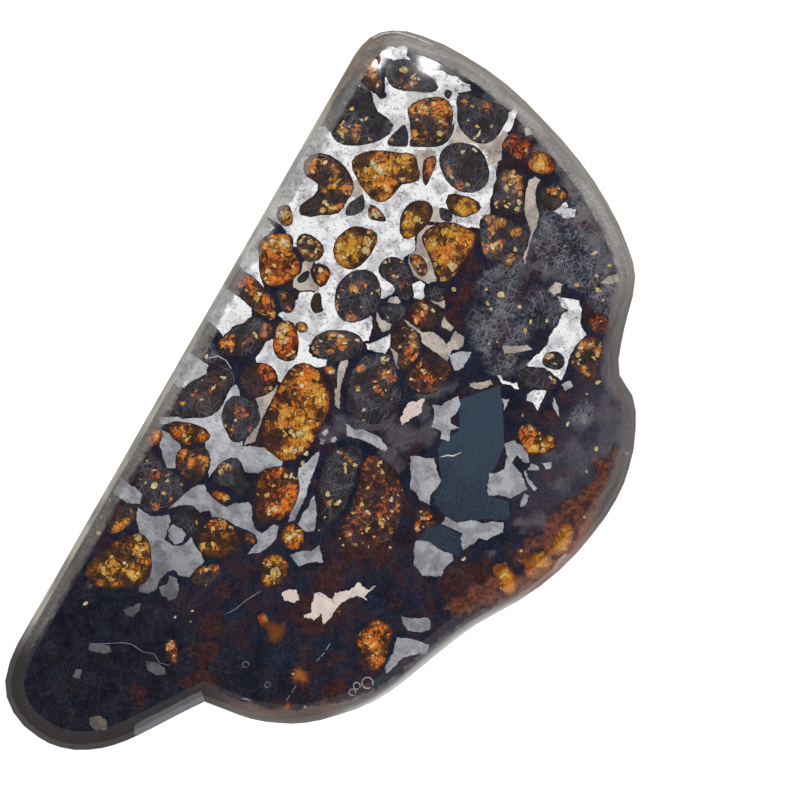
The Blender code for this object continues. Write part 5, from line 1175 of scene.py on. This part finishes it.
def make_metal_material(name, upper, lower, mottled=1.0, roughness=0.58, metallic=1.0, rim_cover=0.45):
    """Polished metal: mottled, pitted and scratched, with a painted reflection that makes it bright towards the top and
    duller towards the slice's lower end.
    """
    material, tree = new_material(name)
    where = place_in_mm(tree)
    split = add_node(tree, "ShaderNodeSeparateXYZ", {0: where}).outputs
    patches = cloud(tree, where, 0.16, 3.0).outputs["Fac"]
    along = calculate(tree, "MULTIPLY_ADD", patches, 26.0)
    tree.links.new(split["Y"], along.node.inputs[2])
    # Painted reflection: the upper colour towards the top, fading along a ragged line to the lower colour below.
    color = blend(tree, window(tree, along, -8.0, 29.0), lower, upper)
    broad = cloud(tree, where, 0.35, 4.0).outputs["Fac"]
    color = blend(tree, window(tree, broad, 0.42, 0.58), blend(tree, 1.0, color, (0.68, 0.67, 0.68), "MULTIPLY"), color)
    color = blend(tree, window(tree, split["Y"], -26.0, -44.0), color, blend(tree, 1.0, color, (0.36, 0.35, 0.35), "MULTIPLY"))
    mottle = cloud(tree, where, 1.3, 6.0, 0.66).outputs["Fac"]
    darker = blend(tree, 1.0, color, (0.38, 0.37, 0.38), "MULTIPLY")
    clean = window(tree, along, 14.0, 40.0, 0.35, 1.0)
    dark_spots = calculate(tree, "MULTIPLY", window(tree, mottle, 0.49, 0.34, 0.0, 0.9 * mottled), clean)
    color = blend(tree, dark_spots, color, darker)
    speckle = cloud(tree, where, 7.5, 4.0, 0.65).outputs["Fac"]
    lighter = blend(tree, 1.0, color, (1.30, 1.30, 1.30), "MULTIPLY")
    color = blend(tree, window(tree, speckle, 0.52, 0.66, 0.0, 0.9), color, lighter)
    color = blend(tree, window(tree, speckle, 0.46, 0.34, 0.0, 0.55), color, darker)
    pits = window(tree, cloud(tree, where, 2.4, 4.0, 0.6).outputs["Fac"], 0.37, 0.31)
    color = blend(tree, calculate(tree, "MULTIPLY", pits, 0.8 * mottled), color, (0.06, 0.055, 0.055))
    cracks = add_node(
        tree, "ShaderNodeTexVoronoi", {"Vector": cloud_bend(tree, where, 0.45, 3.0), "Scale": 0.20},
        feature="DISTANCE_TO_EDGE")
    cracks = window(tree, cracks.outputs["Distance"], 0.004, 0.014, 0.6, 0.0)
    cracks = calculate(tree, "MULTIPLY", cracks, window(tree, broad, 0.54, 0.46))
    color = blend(tree, cracks, color, (0.06, 0.05, 0.05))
    scratches = group_node(tree, "Scratches", {"Long": 0.8, "Short": 0.35})["Mask"]
    color = blend(tree, scratches, color, lighter)
    rim = group_node(tree, "Rim Haze", {"Color": color, "Cover": rim_cover})
    rough = window(tree, mottle, 0.35, 0.65, roughness + 0.12, roughness - 0.05)
    height = calculate(tree, "SUBTRACT", mottle, calculate(tree, "MULTIPLY", pits, 0.6))
    finish_material(tree, rim["Color"], rough, height, 0.25, None, Metallic=metallic)
    return material


def cloud_bend(tree, where, scale, reach):
    """A place moved about by a cloud, so that straight patterns wander."""
    drift = cloud(tree, where, scale, 3.0).outputs["Color"]
    drift = add_node(tree, "ShaderNodeVectorMath", {0: drift, 1: (0.5, 0.5, 0.5)}, operation="SUBTRACT").outputs[0]
    drift = add_node(tree, "ShaderNodeVectorMath", {0: drift, "Scale": reach}, operation="SCALE").outputs[0]
    return add_node(tree, "ShaderNodeVectorMath", {0: where, 1: drift}, operation="ADD").outputs[0]


def make_oxide_material(finish):
    """Dark iron oxide: blue-grey and smooth in the middle, rusty by the right edge, coarse where it is pitted."""
    material, tree = new_material("dark iron oxide")
    where = place_in_mm(tree)
    brown, rust, glow, haze, coarse = (painted(tree, name) for name in OXIDE_ZONES)
    broad = cloud(tree, where, 0.30, 4.0).outputs["Fac"]
    fine = cloud(tree, where, 1.3, 6.0, 0.65).outputs["Fac"]
    fine_swing = calculate(tree, "SUBTRACT", fine, 0.5)
    color = blend(tree, window(tree, broad, 0.36, 0.64), finish.dark_oxide, [c * 1.8 for c in finish.dark_oxide])
    brownish = cloud(tree, cloud_bend(tree, where, 0.3, 5.0), 0.22, 4.0).outputs["Fac"]
    split = add_node(tree, "ShaderNodeSeparateXYZ", {0: where}).outputs
    brownish = window(tree, brownish, 0.46, 0.60, 0.0, 0.6)
    brownish = calculate(tree, "MULTIPLY", brownish, window(tree, split["Y"], -46.0, -36.0, 0.35, 1.0))
    color = blend(tree, brownish, color, (0.030, 0.0095, 0.0115))
    color = blend(tree, window(tree, split["Y"], -34.0, -48.0), color, blend(tree, 1.0, color, (0.60, 0.60, 0.60), "MULTIPLY"))
    lumps = add_node(
        tree, "ShaderNodeTexVoronoi", {"Vector": cloud_bend(tree, where, 1.2, 1.3), "Scale": 1.9}, feature="SMOOTH_F1")
    pitted = window(tree, lumps.outputs["Distance"], 0.30, 0.62)
    pitted = calculate(tree, "MULTIPLY", pitted, window(tree, fine, 0.35, 0.60))
    amount = calculate(tree, "MULTIPLY", window(tree, coarse, 0.1, 0.7, 0.08, 1.0), window(tree, broad, 0.40, 0.58, 0.30, 1.0))
    color = blend(tree, calculate(tree, "MULTIPLY", pitted, amount), color, (0.132, 0.134, 0.150))
    broken = calculate(tree, "MULTIPLY_ADD", fine_swing, 1.3)
    tree.links.new(brown, broken.node.inputs[2])
    deep_brown = blend(tree, window(tree, fine, 0.38, 0.66), (0.020, 0.0075, 0.0085), (0.060, 0.017, 0.0145))
    color = blend(tree, window(tree, broken, 0.05, 0.95, 0.0, 0.92), color, deep_brown)
    broken = calculate(tree, "MULTIPLY_ADD", fine_swing, 1.1)
    tree.links.new(rust, broken.node.inputs[2])
    rusty = blend(tree, window(tree, fine, 0.38, 0.66), [c * 0.40 for c in finish.rust_oxide], finish.rust_oxide)
    color = blend(tree, window(tree, broken, 0.10, 0.95, 0.0, 0.9), color, rusty)
    # Painted light from behind: the glow zones turn orange.
    warm = calculate(tree, "MULTIPLY_ADD", fine_swing, 1.0)
    tree.links.new(glow, warm.node.inputs[2])
    color = blend(tree, window(tree, warm, 0.25, 1.1, 0.0, 0.85), color, (0.36, 0.100, 0.010))
    # Painted sheen: pale over the haze zones, lighter towards the top and broken by grit.
    sheen_mask = calculate(tree, "MULTIPLY_ADD", fine_swing, 1.2)
    tree.links.new(haze, sheen_mask.node.inputs[2])
    grit = window(tree, cloud(tree, where, 4.5, 5.0, 0.7).outputs["Fac"], 0.38, 0.62, 0.30, 1.0)
    sheen_mask = calculate(tree, "MULTIPLY", window(tree, sheen_mask, 0.15, 1.00, 0.0, 0.85), grit)
    painted_sheen = blend(tree, window(tree, split["Y"], 44.0, 62.0), (0.100, 0.085, 0.100), (0.200, 0.190, 0.190))
    color = blend(tree, sheen_mask, color, painted_sheen)
    side = calculate(tree, "MULTIPLY", window(tree, split["X"], 21.0, 28.0), window(tree, split["Y"], 2.0, 10.0))
    side = calculate(tree, "MULTIPLY", calculate(tree, "MULTIPLY", side, grit), window(tree, rust, 0.0, 0.6, 0.45, 0.0))
    color = blend(tree, side, color, (0.080, 0.076, 0.105))
    wisps = cloud(tree, cloud_bend(tree, where, 0.35, 4.0), 0.5, 5.0, 0.7).outputs["Fac"]
    wisps = window(tree, calculate(tree, "ABSOLUTE", calculate(tree, "SUBTRACT", wisps, 0.5)), 0.0, 0.008, 0.22, 0.0)
    color = blend(tree, wisps, color, (0.10, 0.10, 0.115))
    short = calculate(tree, "MAXIMUM", window(tree, coarse, 0.1, 0.7, 0.06, 0.85), window(tree, haze, 0.1, 0.8, 0.0, 0.22))
    scratches = group_node(tree, "Scratches", {"Long": 0.07, "Short": short})["Mask"]
    color = blend(tree, scratches, color, (0.20, 0.20, 0.22))
    dots = add_node(tree, "ShaderNodeTexVoronoi", {"Vector": where, "Scale": 0.62})
    chosen = add_node(tree, "ShaderNodeSeparateColor", {0: dots.outputs["Color"]}).outputs
    picked = calculate(tree, "GREATER_THAN", chosen["Blue"], 0.94)
    size = calculate(tree, "MULTIPLY_ADD", chosen["Red"], 0.12)
    size.node.inputs[2].default_value = 0.03
    dots = calculate(tree, "MULTIPLY", picked, calculate(tree, "LESS_THAN", dots.outputs["Distance"], size))
    color = blend(tree, calculate(tree, "MULTIPLY", dots, 0.8), color, (0.42, 0.34, 0.22))
    rim = group_node(tree, "Rim Haze", {"Color": color, "Cover": 0.9})
    rough = window(tree, coarse, 0.1, 0.7, 0.35, 0.55)
    finish_material(tree, rim["Color"], rough, fine, 0.3, None, **{"Specular IOR Level": 0.05, "Coat Weight": 0.45})
    return material


def make_blue_material(finish):
    """Smooth blue-grey oxide, darker towards its lower end."""
    material, tree = new_material("smooth blue oxide")
    where = place_in_mm(tree)
    split = add_node(tree, "ShaderNodeSeparateXYZ", {0: where}).outputs
    fine = cloud(tree, where, 2.0, 5.0, 0.6).outputs["Fac"]
    broad = cloud(tree, where, 0.25, 4.0).outputs["Fac"]
    along = calculate(tree, "MULTIPLY_ADD", broad, 14.0)
    tree.links.new(split["Y"], along.node.inputs[2])
    color = blend(tree, window(tree, along, 6.0, 20.0), [c * 0.5 for c in finish.blue_oxide], finish.blue_oxide)
    color = blend(tree, window(tree, fine, 0.35, 0.65, 0.0, 0.4), color, [c * 1.5 for c in finish.blue_oxide])
    scratches = group_node(tree, "Scratches", {"Long": 0.15, "Short": 0.10})["Mask"]
    color = blend(tree, scratches, color, (0.14, 0.15, 0.17))
    finish_material(tree, color, 0.3, fine, 0.05, None, **{"Specular IOR Level": 0.05})
    return material


def make_inclusion_material(finish):
    material, tree = new_material("white inclusion")
    where = place_in_mm(tree)
    grain = cloud(tree, where, 1.4, 5.0, 0.6).outputs["Fac"]
    color = blend(tree, window(tree, grain, 0.30, 0.45), (0.30, 0.27, 0.25), finish.white_inclusion)
    warm = window(tree, cloud(tree, where, 0.5, 2.0).outputs["Fac"], 0.45, 0.7, 0.0, 0.5)
    color = blend(tree, warm, color, (0.76, 0.68, 0.60))
    finish_material(tree, color, 0.5, grain, 0.2, None)
    return material


def make_floor_material():
    """Paper so brightly lit that it shows no shadow."""
    material, tree = new_material("lit paper")
    grain = cloud(tree, place_in_mm(tree), 0.5, 3.0).outputs["Fac"]
    color = blend(tree, grain, (0.90, 0.90, 0.90), (0.92, 0.92, 0.92))
    shader = add_node(tree, "ShaderNodeBsdfPrincipled", {"Base Color": color, "Roughness": 0.9})
    shader.inputs["Emission Color"].default_value = (1.0, 1.0, 1.0, 1.0)
    shader.inputs["Emission Strength"].default_value = 0.5
    add_node(tree, "ShaderNodeOutputMaterial", {"Surface": shader.outputs[0]})
    return material


def give(piece, material, slot, *nodes):
    """Gives a finished piece its material and ties it to the CAD part."""
    piece.data.materials.clear()
    piece.data.materials.append(material)
    for polygon in piece.data.polygons:
        polygon.material_index = 0
    smooth_by_angle(piece)
    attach(piece, "root")
    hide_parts(*nodes)


def cutters_so_far():
    return [piece for piece in bpy.data.objects if piece.get("is_cutter")]


def reach_of(points):
    """The least and greatest X and Y of some points."""
    xs, ys = [point[0] for point in points], [point[1] for point in points]
    return min(xs), min(ys), max(xs), max(ys)


def reaching(cutters, outlines):
    """The cutters that may meet one of these outlines."""
    boxes = [reach_of(outline) for outline in outlines]
    near = []
    for cutter in cutters:
        ax, ay, bx, by = (c / MM for c in reach_of([corner[:2] for corner in cutter.bound_box]))
        if any(ax < x1 and bx > x0 and ay < y1 and by > y0 for x0, y0, x1, y1 in boxes):
            near.append(cutter)
    return near


def part_from_plate(name, outlines, plate, earlier):
    """The part of the plate inside these outlines and outside the earlier cutters; its cutter stays for later pieces."""
    near = reaching(earlier, outlines)
    tall = add_prisms(f"{name} cutter", outlines)
    wanted = top_area(tall)
    if near:
        cut(tall, near)
    piece = copy_of(tall, name)
    cut(piece, plate, "INTERSECT")
    if top_area(piece) < LEAST_SHARE * wanted:
        raise RuntimeError(f"{name} came out empty")
    tall["is_cutter"] = True
    tall.hide_render = True
    return piece


# The operators, in the order in which they run.


class PALLASITE_OT_crystals(bpy.types.Operator):
    """Closes each large crystal up to its socket and paints the marks inside it"""

    bl_idname = "pallasite.crystals"
    bl_label = "Large Crystals"

    def execute(self, context):
        finish = context.scene.slice_finish
        make_scratch_group()
        make_rim_group()
        make_crystal_group()
        materials = {look: make_crystal_material(look) for look in LOOKS}
        for node, (floor, marks) in CRYSTAL_MARKS.items():
            look = node.removeprefix("olivine_").rpartition("_")[0]
            piece = merged_copy(node, node.replace("olivine", "crystal"))
            widen(piece, finish.crystal_growth)
            add_border_ring(piece, 0.3 * MM)
            cut_grid(piece, finish.crystal_grid)
            paint(piece, layers_of(floor, marks))
            paint_edge_distance(piece)
            give(piece, materials[look], f"olivine_{look}", node)
        return {"FINISHED"}


def add_border_ring(piece, width):
    """Insets the top, so that the dark border has points of its own."""
    edit_all(piece)
    shape = bmesh.from_edit_mesh(piece.data)
    for face in shape.faces:
        face.select_set(face.normal.z > 0.5)
    bmesh.update_edit_mesh(piece.data)
    bpy.ops.mesh.inset(thickness=width, use_boundary=True, use_even_offset=True)
    leave_edit()


class PALLASITE_OT_small_grains(bpy.types.Operator):
    """Cuts the small olivine grains and specks out of the plate"""

    bl_idname = "pallasite.small_grains"
    bl_label = "Small Grains"

    def execute(self, context):
        finish = context.scene.slice_finish
        plate = merged_copy(PLATE, "plate copy")
        specks = part_from_plate("pale_specks", [speck_outline(*speck) for speck in SPECKS], plate, [])
        # The specks are painted as pale olivine lit from behind, with a strong painted glow and pale layer.
        paint(specks, {"glow": (0.95, []), "warm": (0.0, []), "pale": (1.3, []), "inside": (1.0, [])})
        give(specks, bpy.data.materials["olivine gold"], "olivine_gold", PLATE)
        for name, (look, outline) in SMALL_GRAINS.items():
            floor, marks = GRAIN_MARKS.get(name, (0.06, []))
            piece = part_from_plate(f"grain_{name}", [rounded(outline)], plate, cutters_so_far())
            cut_grid(piece, finish.crystal_grid)
            paint(piece, layers_of(floor, marks))
            paint_edge_distance(piece)
            give(piece, bpy.data.materials[f"olivine {look.replace('_', ' ')}"], f"olivine_{look}", PLATE)
        discard([plate])
        return {"FINISHED"}


class PALLASITE_OT_metal(bpy.types.Operator):
    """Cuts the bright network, the dull seams, the grey islands, the veins and the white inclusions out of the plate"""

    bl_idname = "pallasite.metal"
    bl_label = "Metal and Inclusions"

    def execute(self, context):
        finish = context.scene.slice_finish
        plate = merged_copy(PLATE, "plate copy")
        white = [ragged(outline, 0.3, 0.34) for outline in WHITE_INCLUSIONS.values()]
        inclusions = part_from_plate("white_inclusions", white, plate, cutters_so_far())
        give(inclusions, make_inclusion_material(finish), "iron_nickel", PLATE)
        rings = []
        for x, y, radius, width in RINGS:
            turn = [(x + math.cos(i / 14 * math.tau) * radius, y + math.sin(i / 14 * math.tau) * radius) for i in range(14)]
            rings.append(ribbon(turn, width))
        lines = [ribbon(points, width) for points, width in VEINS] + rings
        veins = part_from_plate("light_veins", lines, plate, cutters_so_far())
        vein_metal = make_metal_material("vein metal", (0.62, 0.62, 0.62), (0.46, 0.47, 0.49), metallic=0.0, rim_cover=0.0)
        give(veins, vein_metal, "iron_nickel", PLATE)
        facet = part_from_plate("notch_facet", [ragged(NOTCH_FACET)], plate, cutters_so_far())
        facet_grey = (0.09, 0.105, 0.13)
        give(facet, make_metal_material("notch facet", facet_grey, facet_grey, metallic=0.0, rim_cover=0.0), "iron_nickel", PLATE)
        borders = []
        for node in CRYSTAL_MARKS:
            border = merged_copy(node, "border")
            widen(border, finish.dark_border + 0.15 * MM)
            make_tall(border)
            borders.append(border)
        # Each metal runs from an upper colour to a darker lower one, a painted reflection that fades down the slice.
        kinds = {
            "beige_metal": (BEIGE_METAL, finish.beige_metal, [c * 0.8 for c in finish.beige_metal], 0.5),
            "bright_metal": (BRIGHT_METAL, finish.bright_metal, finish.dim_metal, 1.0),
            "grey_metal": (GREY_METAL, finish.grey_metal, [c * 0.75 for c in finish.grey_metal], 0.5),
        }
        for name, (outlines, upper, lower, mottled) in kinds.items():
            broken = [ragged(outline, 0.32, 0.22) for outline in outlines.values()]
            piece = part_from_plate(name, broken, plate, cutters_so_far() + borders)
            material = make_metal_material(name.replace("_", " "), list(upper), list(lower), mottled)
            give(piece, material, "iron_nickel", PLATE)
        blocks = part_from_plate("blue_blocks", [ragged(o) for o in BLUE_OXIDE.values()], plate, cutters_so_far() + borders)
        give(blocks, make_blue_material(finish), "iron_nickel", PLATE)
        discard([plate, *borders])
        return {"FINISHED"}


class PALLASITE_OT_oxide(bpy.types.Operator):
    """Makes what is left of the plate the dark oxide, with its painted zones"""

    bl_idname = "pallasite.oxide"
    bl_label = "Dark Oxide"

    def execute(self, context):
        finish = context.scene.slice_finish
        cutters = cutters_so_far()
        piece = merged_copy(PLATE, "dark_oxide")
        whole = top_area(piece)
        cut(piece, cutters)
        if top_area(piece) < LEAST_SHARE * whole:
            raise RuntimeError("dark_oxide came out empty")
        discard(cutters)
        cut_grid(piece, finish.oxide_grid)
        layers = {name: (0.0, [(x, y, radius, 1.0) for x, y, radius in zones]) for name, zones in OXIDE_ZONES.items()}
        paint(piece, layers, wander=1.4, rate=0.5)
        give(piece, make_oxide_material(finish), "iron_nickel", PLATE)
        return {"FINISHED"}


class PALLASITE_OT_studio(bpy.types.Operator):
    """Adds the pale floor, the soft light, the two small lamps and the camera"""

    bl_idname = "pallasite.studio"
    bl_label = "Studio"

    def execute(self, context):
        studio = context.scene.slice_studio
        bpy.ops.object.select_all(action="DESELECT")
        bpy.ops.mesh.primitive_plane_add(size=4.0, location=(0, 0, -0.05 * MM))
        floor = bpy.context.object
        floor.name = "floor"
        floor.data.materials.append(make_floor_material())
        make_sky(studio)
        x, y = studio.camera_centre
        eye = Vector((x, y, TOP * MM + studio.camera_height))
        turn = studio.camera_turn
        left, right = Vector((-36.2, 64.2, TOP)) * MM, Vector((-27.9, 68.1, TOP)) * MM
        add_lamp("lamp left", eye, left, (0.0042, 0.0066), turn - math.radians(20), studio.lamp_strength)
        add_lamp("lamp right", eye, right, (0.0068, 0.0062), turn, studio.lamp_strength * 1.3)
        bpy.ops.object.camera_add(location=eye, rotation=(0, 0, studio.camera_turn))
        camera = bpy.context.object
        camera.data.sensor_width = 36.0
        camera.data.lens = 36.0 * studio.camera_height / studio.field_of_view
        camera.data.clip_start, camera.data.clip_end = 0.01, 20.0
        context.scene.camera = camera
        context.scene.view_settings.view_transform = "Standard"
        return {"FINISHED"}


def make_sky(studio):
    """Even light from the sides that fades straight above, where a flat polished face would mirror it."""
    world = bpy.data.worlds.new("studio light")
    bpy.context.scene.world = world
    world.use_nodes = True
    tree = world.node_tree
    tree.nodes.clear()
    way = add_node(tree, "ShaderNodeTexCoord").outputs["Generated"]
    up = add_node(tree, "ShaderNodeSeparateXYZ", {0: way}).outputs["Z"]
    strength = window(tree, up, 0.88, 0.97, studio.sky_strength, studio.overhead_strength)
    shade = add_node(tree, "ShaderNodeBackground", {"Color": (1.0, 1.0, 1.0, 1.0), "Strength": strength})
    add_node(tree, "ShaderNodeOutputWorld", {"Surface": shade.outputs[0]})


def add_lamp(name, eye, seen_at, size, turn, strength):
    """A small oval lamp, hung where the flat polish mirrors it to the camera at the point seen_at."""
    ray = (seen_at - eye).normalized()
    place = seen_at + Vector((ray.x, ray.y, -ray.z)) * (0.6 / -ray.z)
    bpy.ops.object.light_add(type="AREA", location=place, rotation=(0, 0, turn))
    lamp = bpy.context.object
    lamp.name = name
    lamp.data.shape = "ELLIPSE"
    lamp.data.size, lamp.data.size_y = size
    lamp.data.energy = strength * math.pi * math.pi * size[0] * size[1] / 4


class PALLASITE_PT_panel(bpy.types.Panel):
    """Lists the slice's pieces and its studio"""

    bl_idname = "PALLASITE_PT_panel"
    bl_label = "Pallasite Slice"
    bl_space_type = "VIEW_3D"
    bl_region_type = "UI"
    bl_category = "Slice"

    def draw(self, context):
        for settings in (context.scene.slice_finish, context.scene.slice_studio):
            box = self.layout.box()
            for name in settings.bl_rna.properties.keys():
                if name not in ("rna_type", "name"):
                    box.prop(settings, name)
        for operator in OPERATORS:
            self.layout.operator(operator.bl_idname)


OPERATORS = (
    PALLASITE_OT_crystals,
    PALLASITE_OT_small_grains,
    PALLASITE_OT_metal,
    PALLASITE_OT_oxide,
    PALLASITE_OT_studio,
)
CLASSES = (SliceFinish, SliceStudio, *OPERATORS, PALLASITE_PT_panel)


def register():
    for entry in CLASSES:
        bpy.utils.register_class(entry)
    bpy.types.Scene.slice_finish = bpy.props.PointerProperty(type=SliceFinish)
    bpy.types.Scene.slice_studio = bpy.props.PointerProperty(type=SliceStudio)


def unregister():
    del bpy.types.Scene.slice_finish
    del bpy.types.Scene.slice_studio
    for entry in reversed(CLASSES):
        bpy.utils.unregister_class(entry)


def main():
    register()
    bpy.ops.pallasite.crystals()
    bpy.ops.pallasite.small_grains()
    bpy.ops.pallasite.metal()
    bpy.ops.pallasite.oxide()
    bpy.ops.pallasite.studio()


if __name__ == "__main__":
    main()
